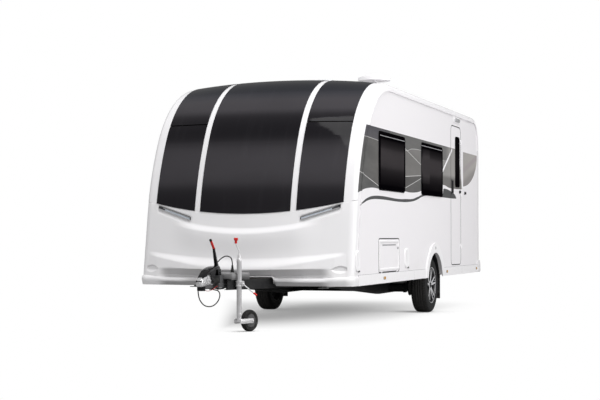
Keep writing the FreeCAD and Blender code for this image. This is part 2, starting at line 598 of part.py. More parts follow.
# ---------------------------------------------------------------- wheels
def revolved(points, x_axis_y, x_axis_z):
    """A closed profile of (x, radius) points turned about a line along X."""
    wire = Part.makePolygon([Vec(x, x_axis_y, x_axis_z + r) for x, r in points + points[:1]])
    return Part.Face(wire).revolve(Vec(0, x_axis_y, x_axis_z), Vec(1, 0, 0), 360)


SPOKE_PAIRS = 5


def make_wheels():
    """Tyres, rims with five pairs of spokes, and brake drums."""
    mid = TRACK / 2
    half = TYRE_W / 2
    flange = half - 14
    bead = flange - 9
    # x from the middle of the tread, radius
    half_tyre = ((40.0, TYRE_R), (half - 26, TYRE_R - 5), (half - 8, TYRE_R - 22), (half, RIM_R + 62),
                 (half - 4, RIM_R + 24), (bead, RIM_R + 0.5), (bead, RIM_R - 8))
    tyre = [(mid + x, r) for x, r in half_tyre] + [(mid - x, r) for x, r in reversed(half_tyre)]
    tyre = revolved(tyre, AXLE_Y, TYRE_R)
    barrel = [(mid - flange, RIM_R), (mid - flange, RIM_R - 14), (mid - flange + 30, RIM_R - 27),
              (mid + flange - 30, RIM_R - 27), (mid + flange - 6, RIM_R - 14), (mid + flange, RIM_R),
              (mid + flange - 8, RIM_R), (mid + flange - 8.5, RIM_R - 8.3), (mid - flange + 8.5, RIM_R - 8.3),
              (mid - flange + 8, RIM_R)]
    rim = revolved(barrel, AXLE_Y, TYRE_R)
    face_in, face_out = mid + 38, mid + 66
    hub = revolved([(face_in - 20, 24), (face_in - 20, 74), (face_out - 12, 74), (face_out - 4, 58),
                    (face_out - 4, 24)], AXLE_Y, TYRE_R)
    cap = rod((face_out - 14, AXLE_Y, TYRE_R), (face_out - 1, AXLE_Y, TYRE_R), 30)
    rim = rim.fuse(hub).fuse(cap)
    for n in range(SPOKE_PAIRS):
        for side in (-1, 1):
            spoke = prism([(face_in, AXLE_Y + side * 16 - 11, TYRE_R + 50),
                           (face_in, AXLE_Y + side * 16 + 11, TYRE_R + 50),
                           (face_in, AXLE_Y + side * 34 + 10, TYRE_R + RIM_R - 22),
                           (face_in, AXLE_Y + side * 34 - 10, TYRE_R + RIM_R - 22)], (face_out - face_in - 6, 0, 0))
            spoke.rotate(Vec(0, AXLE_Y, TYRE_R), Vec(1, 0, 0), 360.0 / SPOKE_PAIRS * n)
            rim = rim.fuse(spoke)
    rim = rim.removeSplitter()
    bore = STUB_R + CLEAR
    drum = revolved([(mid - 169, bore), (mid - 169, 118), (mid - 95, 118), (mid - 95, 80), (mid + 17.7, 70),
                     (mid + 17.7, bore)],
                    AXLE_Y, TYRE_R)
    for side, name in ((1, "nearside"), (-1, "offside")):
        save("tyre_" + name, on_side(tyre, side))
        save("rim_" + name, on_side(rim, side))
        save("brake_drum_" + name, on_side(drum, side))


# ---------------------------------------------------------------- coupling and drawbar fittings
HANDLE_C = (FRONT_END + 387.0, 9.0)       # centre of the coupling handle's arc
HANDLE_R = (607.0, 625.0)
HOUSING = (FRONT_END + 420.0, FRONT_END + 770.0, 435.0, 545.0)
NECK_LOW = 455.0              # underside of the coupling's neck
COVER_TOP = 565.0


def make_coupling():
    """Coupling head and handle, overrun shaft and housing, handbrake lever and drawbar cover."""
    by = BALL[1]
    half = 38.0
    cup = rod((0, by, 412), (0, by, 480), half).fuse(Part.makeSphere(half, Vec(0, by, 480)))
    neck = prism([(-half, by, NECK_LOW), (-half, by, 512), (-half, by + 60, 548), (-half, by + 150, 548),
                  (-half, by + 215, 528), (-half, by + 215, NECK_LOW)], (2 * half, 0, 0))
    head = cup.fuse(neck).cut(Part.makeSphere(BALL_R, Vec(*BALL)))
    head = head.cut(rod((0, by, 400), BALL, BALL_R)).removeSplitter()
    save("coupling_head", head)

    cy, cz = HANDLE_C
    reach = half + 8
    band = rod((-reach, cy, cz), (reach, cy, cz), HANDLE_R[1]).cut(rod((-reach, cy, cz), (reach, cy, cz), HANDLE_R[0]))
    band = band.common(box(-reach, reach, FRONT_END, FRONT_END + 420, cz + 300, cz + 700))
    for x in (-reach, half):
        band = band.fuse(prism([(x, by + 112, 588), (x, by + 205, 612), (x, by + 205, 470), (x, by + 165, 470)],
                               (8, 0, 0)))
    save("coupling_handle", band.removeSplitter())

    y0, y1, z0, z1 = HOUSING
    housing = box(-45, 45, y0, y1, z0, z1)
    flange = box(-120, 120, y0 + 90, y1, FLOOR_LOW, FLOOR_LOW + 8)
    save("overrun_housing", housing.fuse(flange).removeSplitter())
    head_end = by + 215
    ribs = [(head_end, 26.0)]
    for n in range(7):
        y = head_end + (y0 - head_end) * (n + 0.5) / 7
        ribs += [(y, 42.0), (head_end + (y0 - head_end) * (n + 1) / 7, 34.0)]
    profile = [Vec(0, head_end, SHAFT_Z)] + [Vec(0, y, SHAFT_Z + r) for y, r in ribs] + [Vec(0, y0, SHAFT_Z)]
    wire = Part.makePolygon(profile + profile[:1])
    save("overrun_bellows", Part.Face(wire).revolve(Vec(0, 0, SHAFT_Z), Vec(0, 1, 0), 360))

    bar = prism([(-5, y0 + 83, z1), (-5, y0 + 40, z1), (-5, y0 - 62, 800), (-5, y0 - 34, 800)], (10, 0, 0))
    grip = rod((0, y0 - 36, 792), (0, y0 - 134, 886), 13)
    save("handbrake_lever", bar.fuse(grip).removeSplitter())

    f0, f1, w0, w1 = FRONT_END + 510.0, FRONT_END + 830.0, 135.0, 195.0
    plan = [(-w0, f0), (w0, f0), (w1, f1), (-w1, f1)]
    cover = prism([(px, py, FLOOR_LOW) for px, py in plan], (0, 0, COVER_TOP - FLOOR_LOW))
    inside = prism([(px - 5 * (1 if px > 0 else -1), py + (5 if py == f0 else 5), FLOOR_LOW - 1)
                    for px, py in plan], (0, 0, COVER_TOP - FLOOR_LOW - 4))
    cover = cover.cut(inside).cut(box(-49, 49, f0 - 5, f0 + 10, FLOOR_LOW - 5, z1 + 4))
    cover = cover.cut(box(-160, 160, f0 - 5, f0 + 10, FLOOR_LOW - 5, FLOOR_LOW + 10))
    jockey_space = rod((*JOCKEY, 0), (*JOCKEY, 1000), JOCKEY_TUBE_R + 3)
    save("drawbar_cover", cover.cut(jockey_space))


def make_jockey():
    """Jockey tube with its crank, the clamp that holds it, the sliding tube, the castor fork and the wheel."""
    x, y = JOCKEY
    outer = rod((x, y, 150), (x, y, JOCKEY_TOP), JOCKEY_TUBE_R).cut(rod((x, y, 150), (x, y, JOCKEY_TOP - 10), 21.5))
    stem = rod((x, y, JOCKEY_TOP), (x, y, JOCKEY_TOP + 68), 7)
    arm = rod((x, y, JOCKEY_TOP + 66), (x - 34, y, JOCKEY_TOP + 144), 6)
    knob = rod((x - 34, y, JOCKEY_TOP + 140), (x - 34, y, JOCKEY_TOP + 196), 14)
    joint = Part.makeSphere(8, Vec(x, y, JOCKEY_TOP + 66))
    save("jockey_outer_tube", outer.fuse(stem).fuse(arm).fuse(joint).fuse(knob).removeSplitter())

    ring = rod((x, y, 440), (x, y, 490), 36).cut(rod((x, y, 430), (x, y, 500), JOCKEY_TUBE_R))
    lug = box(x - 60, x - 20, y - 18, y + 18, 445, 485).cut(rod((x, y, 430), (x, y, 500), JOCKEY_TUBE_R))
    lever = rod((x + 30, y, 460), (x + 174, y, 358), 6)
    tip = rod((x + 148, y, 376.4), (x + 180, y, 353.7), 9)
    clamp = ring.fuse(lug).cut(drawbar_side_space())
    save("jockey_clamp", clamp.fuse(lever).fuse(tip).removeSplitter())

    inner = rod((x, y, 112.4), (x, y, JOCKEY_TOP - 40), 21).cut(rod((x, y, 130), (x, y, JOCKEY_TOP), 17))
    save("jockey_inner_tube", inner)

    yoke = box(-42, 42, -26, 37, 84, 112)
    arms = [box(s - 3, s + 3, -10, JOCKEY_TRAIL + 18, 82, 128) for s in (-39, 39)]
    pin = rod((-48, JOCKEY_TRAIL, JOCKEY_R), (48, JOCKEY_TRAIL, JOCKEY_R), 7)
    fork = yoke.fuse(arms[0]).fuse(arms[1]).fuse(pin).removeSplitter()
    half = JOCKEY_W / 2
    wheel = revolved([(-half, 8), (-half, 30), (-half + 10, 40), (-half + 10, 68), (-half, 78),
                      (-half + 6, JOCKEY_R - 6), (-half + 14, JOCKEY_R), (half - 14, JOCKEY_R),
                      (half - 6, JOCKEY_R - 6), (half, 78), (half - 10, 68), (half - 10, 40), (half, 30),
                      (half, 8)], JOCKEY_TRAIL, JOCKEY_R)
    for shape, name in ((fork, "jockey_fork"), (wheel, "jockey_wheel")):
        shape.rotate(Vec(0, 0, 0), Vec(0, 0, 1), -JOCKEY_TURN)
        shape.translate(Vec(x, y, 0))
        save(name, shape)


def drawbar_side_space():
    """The space on the centre side of the nearside drawbar rail's outer face."""
    x0, y0 = A_RAIL_FRONT
    x1, y1 = RAIL_X, RAIL_FRONT_Y
    return prism([(x0, y0, 300), (x1, y1, 300), (x1 - 900, y1, 300), (x0 - 900, y0, 300)], (0, 0, 300))


# ---------------------------------------------------------------- cords
ROUTE_SHIFT = FRONT_END + 3750.0          # the routes are written for a coupling nose at y -3750
CABLE_R = 5.5
CABLE = (                     # route of the towing vehicle's electric cable, from its gland to its plug
    (30.0, -2970.0, 636.0), (30.0, -2970.0, 700.0), (0.0, -3022.0, 728.0), (-28.0, -3070.0, 716.0),
    (-52.0, -3118.0, 682.0), (-72.0, -3176.0, 636.0), (-84.0, -3236.0, 590.0), (-88.0, -3272.0, 536.0),
    (-86.0, -3286.0, 470.0), (-66.0, -3300.0, 420.0), (-18.0, -3322.0, 408.0), (36.0, -3346.0, 404.0),
    (66.0, -3372.0, 364.0), (58.0, -3408.0, 300.0), (18.0, -3458.0, 254.0), (-34.0, -3520.0, 262.0),
    (-64.0, -3566.0, 318.0), (-70.0, -3590.0, 384.0), (-70.0, -3592.0, 438.0),
)
BREAKAWAY_R = 2.5
BREAKAWAY = (                 # route of the breakaway cable, from the housing to the coupling head
    (28.0, -3330.0, 446.0), (28.0, -3360.0, 446.0), (22.0, -3408.0, 428.0), (8.0, -3460.0, 408.0),
    (-6.0, -3514.0, 402.0), (-16.0, -3552.0, 410.0), (-20.0, -3574.0, 428.0), (-20.0, -3574.0, NECK_LOW),
)


def cord(name, points, r):
    """A round cord: straight runs joined by arcs tangent to both, each arc taking 0.45 of the shorter run."""
    p = [Vec(x, y + ROUTE_SHIFT, z) for x, y, z in points]
    edges, at, radii = [], p[0], []
    for a, b, c in zip(p, p[1:], p[2:]):
        run_in, run_out = (b - a), (c - b)
        turn = run_in.getAngle(run_out)
        take = 0.45 * min(run_in.Length, run_out.Length)
        radii.append(take / tan(turn / 2))
        start = b - run_in.normalize() * take
        end = b + run_out.normalize() * take
        bend = radii[-1] * (1 / cos(turn / 2) - 1)
        toward = ((start + end) * 0.5 - b).normalize()
        middle = b + toward * bend
        edges.append(Part.makeLine(at, start))
        edges.append(Part.Arc(start, middle, end).toShape())
        at = end
    edges.append(Part.makeLine(at, p[-1]))
    wire = Part.Wire(edges)
    length = wire.Length
    circle = Part.Wire(Part.makeCircle(r, p[0], p[1] - p[0]))
    tube = wire.makePipeShell([circle], True, False)
    print(f"{name}: radii {[round(v) for v in radii]} length {length:.0f}"
          f" volume/section*length {tube.Volume / (pi * r * r * length):.4f}")
    save(name, tube)


def make_cords():
    """The electric cable with its gland and plug, and the breakaway cable."""
    cord("electric_cable", CABLE, CABLE_R)
    cord("breakaway_cable", BREAKAWAY, BREAKAWAY_R)
    x, y, z = CABLE[0]
    gland = cone((x, y + ROUTE_SHIFT, COVER_TOP), (x, y + ROUTE_SHIFT, z), 20, 8)
    x, y, z = CABLE[-1]
    y += ROUTE_SHIFT
    plug = rod((x, y, z), (x, y, z + 62), 18)
    clip = box(x + 10, -38, y - 12, y + 12, z + 34, z + 48)
    save("cable_ends", gland, plug.fuse(clip).removeSplitter())


def main():
    """Builds every node."""
    os.makedirs(OUT, exist_ok=True)
    outer = rounded_form()
    make_body(outer)
    make_glazing(outer)
    make_trims(outer)
    make_doors()
    make_chassis()
    make_wheels()
    make_coupling()
    make_jockey()
    make_cords()


main()
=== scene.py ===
"""Looks of a single-axle touring caravan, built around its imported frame.

Everything is in metres in the part's own frame: +X is the nearside, -Y points at the towing vehicle, +Z is up.
"""
import logging
import math
from dataclasses import dataclass
from enum import Enum
from functools import lru_cache, partialmethod
from typing import Mapping, Sequence, Union

import bmesh
import bpy
import numpy as np
from mathutils import Euler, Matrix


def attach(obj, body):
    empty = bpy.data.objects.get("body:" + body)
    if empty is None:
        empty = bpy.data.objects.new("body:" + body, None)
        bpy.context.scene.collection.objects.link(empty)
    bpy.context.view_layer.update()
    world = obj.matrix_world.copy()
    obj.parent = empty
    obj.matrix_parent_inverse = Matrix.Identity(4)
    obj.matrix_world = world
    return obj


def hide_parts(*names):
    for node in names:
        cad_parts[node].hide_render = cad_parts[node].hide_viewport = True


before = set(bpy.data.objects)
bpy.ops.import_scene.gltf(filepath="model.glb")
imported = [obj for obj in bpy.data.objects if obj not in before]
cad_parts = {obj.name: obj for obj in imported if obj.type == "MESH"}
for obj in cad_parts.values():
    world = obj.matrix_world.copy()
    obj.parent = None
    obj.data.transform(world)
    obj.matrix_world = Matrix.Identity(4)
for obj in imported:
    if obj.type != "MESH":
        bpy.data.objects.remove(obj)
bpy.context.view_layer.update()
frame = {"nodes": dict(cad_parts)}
LOG = logging.getLogger("caravan")

Pair = tuple[float, float]
Triple = tuple[float, float, float]
Quad = tuple[float, float, float, float]
Colour = Triple
Table = tuple[Pair, ...]
Seam = tuple[Pair, Pair]
Operand = Union["Shade", float]
UP = (0.0, 0.0, 1.0)
UP_VECTOR = np.asarray(UP)
TWO_PI = 2.0 * math.pi
WHITE = (1.0, 1.0, 1.0)
WINDOWS: tuple[tuple[int, Quad], ...] = (
    (1, (-1.62, -0.53, 1.4, 2.01)), (1, (0.25, 1.345, 1.405, 2.015)), (-1, (-1.62, -0.53, 1.4, 2.01)),
    (-1, (-0.1, 0.7, 1.48, 2.015)), (-1, (2.6, 3.2, 1.48, 2.015)))


# ---------------- shader graph
class Shade:
    """A value or colour inside a material; arithmetic on it adds Math nodes."""

    def __init__(self, graph: "Graph", socket: bpy.types.NodeSocket) -> None:
        """Keeps the graph and the socket that carries the value."""
        self.graph = graph
        self.socket = socket

    def binary(self, operation: str, turned: bool, other: Operand) -> "Shade":
        """A Math node on this value and another, turned round where a plain number stands on the left."""
        return self.graph.math(operation, *((other, self) if turned else (self, other)))

    __add__, __radd__ = partialmethod(binary, "ADD", False), partialmethod(binary, "ADD", True)
    __sub__, __rsub__ = partialmethod(binary, "SUBTRACT", False), partialmethod(binary, "SUBTRACT", True)
    __mul__, __rmul__ = partialmethod(binary, "MULTIPLY", False), partialmethod(binary, "MULTIPLY", True)
    __truediv__, __pow__ = partialmethod(binary, "DIVIDE", False), partialmethod(binary, "POWER", False)

    def __abs__(self) -> "Shade":
        """Absolute value."""
        return self.graph.math("ABSOLUTE", self)

    def clamped(self) -> "Shade":
        """The value kept between 0 and 1."""
        return self.graph.math("ADD", self, 0.0, clamp=True)

    def rises(self, low: float, high: float) -> "Shade":
        """0 below low, 1 above high, and smooth between them."""
        return self.graph.value("ShaderNodeMapRange", {"interpolation_type": "SMOOTHSTEP"},
                                {0: self, 1: low, 2: high, 3: 0.0, 4: 1.0})

    def falls(self, low: float, high: float) -> "Shade":
        """1 below low, 0 above high, and smooth between them."""
        return 1.0 - self.rises(low, high)

    def within(self, low: float, high: float, soft: float) -> "Shade":
        """1 between low and high, with edges as soft as asked."""
        return self.rises(low - soft, low + soft) * self.falls(high - soft, high + soft)


class Owner(Enum):
    """What a node tree belongs to."""

    MATERIAL = "Material"
    WORLD = "World"


class Graph:
    """The node tree of one material or world."""

    def __init__(self, name: str, owner: Owner = Owner.MATERIAL) -> None:
        """Makes an empty material or world with its output node."""
        owners = bpy.data.worlds if owner is Owner.WORLD else bpy.data.materials
        self.owner = owners.new(name)
        self.owner.use_nodes = True
        self.tree = self.owner.node_tree
        self.tree.nodes.clear()
        self.output = self.node(f"ShaderNodeOutput{owner.value}")

    def link(self, start: bpy.types.Node | Shade, end: bpy.types.NodeSocket) -> None:
        """Links a value, or a node's first output, to an input."""
        self.tree.links.new(start.socket if isinstance(start, Shade) else start.outputs[0], end)

    def fill(self, made: bpy.types.Node, sockets: Mapping[int | str, object]) -> bpy.types.Node:
        """Gives a node's inputs their links and plain values.

        Args:
            made: the node.
            sockets: what each input takes; a colour of three numbers becomes opaque.
        Returns:
            The node.
        """
        for key, value in sockets.items():
            if isinstance(value, Shade):
                self.link(value, made.inputs[key])
            elif made.inputs[key].type == "RGBA" and len(value) == 3:
                made.inputs[key].default_value = (*value, 1.0)
            else:
                made.inputs[key].default_value = value
        return made

    def node(self, kind: str, settings: Mapping[str, object] | None = None,
             sockets: Mapping[int | str, object] | None = None) -> bpy.types.Node:
        """Adds any node.

        Args:
            kind: the node's type.
            settings: its own settings; "stops" are a ramp's places and colours, "curve" a curve's points.
            sockets: what each input takes, a link or a plain value.
        Returns:
            The node.
        """
        made = self.tree.nodes.new(kind)
        for key, value in (settings or {}).items():
            if key == "stops":
                elements = made.color_ramp.elements
                while len(elements) < len(value):
                    elements.new(0.5)
                for element, (place, colour) in zip(elements, value):
                    element.position = place
                    element.color = (*colour, 1.0)
            elif key == "curve":
                points = made.mapping.curves[0].points
                while len(points) < len(value):
                    points.new(0.5, 0.5)
                for point, place in zip(points, value):
                    point.location = place
                made.mapping.update()
            else:
                setattr(made, key, value)
        return self.fill(made, sockets or {})

    def value(self, kind: str, settings: Mapping[str, object] | None = None,
              sockets: Mapping[int | str, object] | None = None, output: int | str = 0) -> Shade:
        """Adds any node and gives back one of its outputs."""
        return Shade(self, self.node(kind, settings, sockets).outputs[output])

    def math(self, operation: str, *operands: Operand, clamp: bool = False) -> Shade:
        """A Math node on plain numbers or values."""
        return self.value("ShaderNodeMath", {"operation": operation, "use_clamp": clamp}, dict(enumerate(operands)))

    @property
    def place(self) -> Shade:
        """The point on the surface, in the part's frame."""
        return self.value("ShaderNodeTexCoord", output="Object")

    def axes(self) -> tuple[Shade, Shade, Shade]:
        """The point's x, y and z as three values."""
        split = self.node("ShaderNodeSeparateXYZ", sockets={0: self.place})
        return tuple(Shade(self, output) for output in split.outputs)

    def stretched(self, factors: Triple = (1.0, 1.0, 1.0)) -> Shade:
        """The point with its axes stretched by three factors."""
        return self.value("ShaderNodeMapping", sockets={0: self.place, 3: factors})

    def noise(self, scale: float, detail: float = 2.0, rough: float = 0.5,
              stretch: Triple = (1.0, 1.0, 1.0)) -> Shade:
        """Smooth noise from 0 to 1, stretched by three factors along the axes."""
        sockets = {"Vector": self.stretched(stretch), "Scale": scale, "Detail": detail, "Roughness": rough}
        return self.value("ShaderNodeTexNoise", sockets=sockets)

    def cells(self, scale: float) -> Shade:
        """A pattern of cells, each of one random colour."""
        return self.value("ShaderNodeTexVoronoi", {"feature": "F1"}, {"Vector": self.stretched(), "Scale": scale},
                          "Color")

    def mix(self, share: Operand, first: object, second: object) -> Shade:
        """A colour between two colours."""
        return self.value("ShaderNodeMix", {"data_type": "RGBA"}, {0: share, 6: first, 7: second}, 2)

    def ramp(self, share: Shade, stops: Sequence[tuple[float, Colour]]) -> Shade:
        """A colour read from a ramp."""
        return self.value("ShaderNodeValToRGB", {"stops": stops}, {0: share})

    def curve(self, share: Shade, points: Sequence[Pair], x0: float, x1: float,
              y0: float, y1: float) -> Shade:
        """A smooth curve through points.

        Args:
            share: the value that is looked up.
            points: (x, y) places on the curve.
            x0, x1: the range looked up.
            y0, y1: the range given back.
        Returns:
            The curve's value.
        """
        scaled = [((x - x0) / (x1 - x0), (y - y0) / (y1 - y0)) for x, y in points]
        along = self.value("ShaderNodeMapRange", sockets={0: share, 1: x0, 2: x1, 3: 0.0, 4: 1.0})
        read = self.value("ShaderNodeFloatCurve", {"curve": scaled}, {1: along})
        return read * (y1 - y0) + y0

    def bump(self, height: Shade, distance: float, strength: float = 1.0, under: Shade | None = None) -> Shade:
        """A normal tilted by a height.

        Args:
            height: a value between 0 and 1.
            distance: what 1 means, in metres.
            strength: how much of it shows.
            under: the normal that it builds on.
        Returns:
            The normal.
        """
        sockets = {"Strength": strength, "Distance": distance, "Height": height}
        if under is not None:
            sockets["Normal"] = under
        return self.value("ShaderNodeBump", sockets=sockets)

    def worn_edges(self, radius: float) -> tuple[Shade, Shade]:
        """The normal rounded over the edges, and a mask that is 1 along them.

        Args:
            radius: of the rounding.
        Returns:
            The normal and the mask.
        """
        rounded = self.value("ShaderNodeBevel", {"samples": 4}, {"Radius": radius})
        true = self.value("ShaderNodeNewGeometry", output="True Normal")
        dot = self.value("ShaderNodeVectorMath", {"operation": "DOT_PRODUCT"}, {0: rounded, 1: true}, "Value")
        return rounded, (1.0 - dot).rises(0.02, 0.22)

    def blend(self, share: Shade, first: bpy.types.Node, second: bpy.types.Node) -> bpy.types.Node:
        """A Mix Shader between two shaders.

        Args:
            share: how much of the second.
            first: a shader.
            second: another.
        Returns:
            The Mix Shader.
        """
        made = self.node("ShaderNodeMixShader", sockets={0: share})
        self.link(first, made.inputs[1])
        self.link(second, made.inputs[2])
        return made

    def surface(self, **sockets: object) -> bpy.types.Material:
        """Ends the graph in a Principled surface; names use _ for a space."""
        named = {key.replace("_", " "): value for key, value in sockets.items()}
        self.link(self.node("ShaderNodeBsdfPrincipled", sockets=named), self.output.inputs[0])
        return self.owner


def grey(level: float, warm: float = 0.0) -> Colour:
    """A grey of one level, a little warmer in red or cooler below zero."""
    return (level * (1.0 + warm), level, level * (1.0 - warm))


# ---------------- finishes
class Finish:
    """What a piece is made of; its material is built once."""

    name: str

    def paint(self, g: Graph) -> bpy.types.Material:
        """Builds the finish's nodes in a graph; each finish has its own."""
        raise NotImplementedError

    @lru_cache(maxsize=None)
    def material(self) -> bpy.types.Material:
        """The finish's material, painted at the first call."""
        return self.paint(Graph(self.name))


@dataclass(frozen=True)
class BodyPaint(Finish):
    """White gloss of the mouldings and wall sheets, with the band and stripe along the sides; painted shade darkens the
    roof, and the nose where asked.
    """

    name: str = "body_paint"
    colour: Colour = (0.8, 0.8, 0.815)
    rough: float = 0.24
    ripple: float = 0.0006
    gloss: float = 0.28
    livery: bool = False
    # Whether the nose gets painted shade in its scoop and round its bumper.
    painted_shade: bool = False
    band_top: float = 2.045
    nose_circle: Triple = (0.103, 0.6883, 2.572)
    rear_ellipse: Quad = (2.5, 2.033, 1.015, 0.46)
    edge: float = 0.0016
    seam: float = 0.0022
    foot: Table = (
        (-2.42, 1.336), (-2.31, 1.361), (-2.04, 1.402), (-1.8, 1.413), (-1.6, 1.409), (-0.51, 1.415),
        (-0.28, 1.411), (0.02, 1.421), (0.29, 1.449), (1.4, 1.555), (1.8, 1.53), (2.6, 1.54))
    stripe_high: Table = (
        (-2.356, 1.2145), (-2.221, 1.258), (-2.038, 1.304), (-1.851, 1.328), (-1.6, 1.337), (-0.73, 1.325),
        (-0.509, 1.331), (-0.22, 1.338), (0.074, 1.37), (0.289, 1.398), (0.494, 1.409), (1.371, 1.421),
        (1.44, 1.51), (1.8, 1.495), (2.17, 1.412))
    stripe_low: Table = (
        (-2.356, 1.214), (-2.174, 1.25), (-1.99, 1.283), (-1.801, 1.297), (-1.486, 1.301), (-0.731, 1.294),
        (-0.45, 1.298), (-0.165, 1.313), (0.073, 1.341), (0.288, 1.376), (0.509, 1.396), (1.371, 1.4),
        (1.8, 1.399), (2.17, 1.404))
    tones: tuple[tuple[float, Colour], ...] = (
        (0.0, grey(0.122, -0.02)), (0.13, grey(0.15, 0.03)), (0.33, grey(0.225, 0.03)), (0.46, grey(0.225, 0.03)),
        (0.64, grey(0.44, 0.02)), (0.84, grey(0.56, 0.04)), (1.0, grey(0.62, 0.05)))
    crest: Table = (
        (-2.1, 1.924), (-1.85, 1.919), (-1.55, 1.908), (-0.9, 1.86), (-0.44, 1.874), (-0.16, 1.909), (0.23, 1.917),
        (1.3, 1.86), (1.8, 1.95))
    slash: Seam = ((1.865, 1.992), (1.408, 1.741))
    first: Seam = ((-2.288, 1.557), (-1.681, 1.452))
    glow: Seam = ((-0.436, 1.881), (0.199, 1.758))
    wedge: Seam = ((-0.462, 1.46), (0.29, 1.597))
    centre: Seam = ((-0.448, 1.586), (0.246, 1.623))
    # The slanted line of a painted pinkish reflection in the band's rear part.
    painted_reflection_seam: Seam = ((2.596, 1.794), (3.434, 2.005))

    def paint(self, g: Graph) -> bpy.types.Material:
        """Builds the finish's nodes."""
        x, y, z = g.axes()
        dust = z.falls(0.42, 0.8) * g.noise(3.0, 4.0, 0.6).rises(0.42, 0.75) * 0.3
        mottle = g.noise(0.7, 2.0)
        white = g.mix(mottle * 0.35, self.colour, tuple(0.975 * c for c in self.colour))
        white = g.mix(dust, white, (0.6, 0.585, 0.56))
        # Painted shade: the roof behind the nose is painted darker, with a little noise, standing in for less light
        # from above.
        painted_roof_shade = z.rises(2.545, 2.585) * y.rises(-1.9, -1.3) * (g.noise(1.6, 4.0, 0.6) * 0.3 + 0.35)
        white = g.mix(painted_roof_shade, white, (0.5, 0.5, 0.505))
        # Painted shade on the nose: darker in the scoop under the belt, on the bumper's under face and on its top strip
        # near the middle.
        if self.painted_shade:
            white = g.mix(self.painted_nose_shade(x, y, z), white, (0.3, 0.295, 0.3))
        base, rough = white, g.noise(9.0, 3.0) * 0.06 + (self.rough - 0.03)
        if self.livery:
            stripe = self.stripe(g, y, z)
            mask = g.math("MAXIMUM", self.band(g, y, z), stripe)
            tone = g.mix(stripe, self.facets(g, y, z), grey(0.088, -0.02))
            outer = abs(x).rises(1.1235, 1.1265)
            base = g.mix(mask * outer, white, tone)
            rough = rough - mask * outer * 0.05
        ripples = g.noise(5.5, 1.0) * 0.8 + g.noise(420.0, 1.0) * 0.012
        return g.surface(Base_Color=base, Roughness=rough, Specular_IOR_Level=self.gloss,
                         Normal=g.bump(ripples, self.ripple * 4.0))

    def painted_nose_shade(self, x: Shade, y: Shade, z: Shade) -> Shade:
        """Where painted shade darkens the nose: in the scoop under the belt, on the bumper's under face and on its top
        strip near the middle.

        Args:
            x, y, z: the point on the surface.
        Returns:
            1 where the painted shade is darkest.
        """
        scoop = z.within(0.499, 0.59, 0.006) * 0.42
        under = z.falls(0.456, 0.472) * 0.62
        middle = z.within(0.46, 0.5, 0.006) * abs(x).falls(0.48, 0.66) * 0.5
        return (scoop + under + middle).clamped() * abs(x).falls(0.8, 0.93) * y.falls(-2.55, -2.5)

    def over(self, y: Shade, z: Shade, seam: Seam) -> Shade:
        """How far a point is above the line through a seam's two (y, z) ends, measured upwards."""
        (y0, z0), (y1, z1) = seam
        slope = (z1 - z0) / (y1 - y0)
        return z - y * slope + (y0 * slope - z0)

    def under(self, y: Shade, z: Shade, seam: Seam) -> Shade:
        """1 below a seam."""
        return self.over(y, z, seam).falls(-0.002, 0.002)

    def band(self, g: Graph, y: Shade, z: Shade) -> Shade:
        """Where the vinyl band lies.

        Args:
            g: the material's graph.
            y: place along the side.
            z: height.
        Returns:
            1 above the wavy foot, under the straight top and outside the nose's circle, less a slanted slash; and
            in the lower half of an ellipse behind the door.
        """
        edge = self.edge
        cy, cz, radius = self.nose_circle
        outside = (((y - cy) ** 2.0 + (z - cz) ** 2.0) ** 0.5).falls(radius - edge, radius + edge)
        above = (z - g.curve(y, self.foot, -2.45, 2.65, 1.3, 1.6)).rises(-edge, edge)
        band = outside * above * z.falls(self.band_top - edge, self.band_top + edge) * y.falls(2.598, 2.602)
        ey, ez, ea, eb = self.rear_ellipse
        oval = (((y - ey) / ea) ** 2.0 + ((z - ez) / eb) ** 2.0).falls(0.992, 1.0)
        oval = oval * y.rises(2.594, 2.598) * z.falls(ez - edge, ez + edge)
        gap = self.over(y, z, self.slash).within(-0.022, 0.022, edge) * y.within(1.38, 1.93, edge)
        return g.math("MAXIMUM", band * (1.0 - gap), oval)

    def stripe(self, g: Graph, y: Shade, z: Shade) -> Shade:
        """1 in the thin wave under the band, between its two curves."""
        high, low = (g.curve(y, table, -2.4, 2.2, 1.18, 1.55) for table in (self.stripe_high, self.stripe_low))
        between = (z - low).rises(-self.edge, self.edge) * (high - z).rises(-self.edge, self.edge)
        return between * y.within(-2.356, 2.17, self.edge)

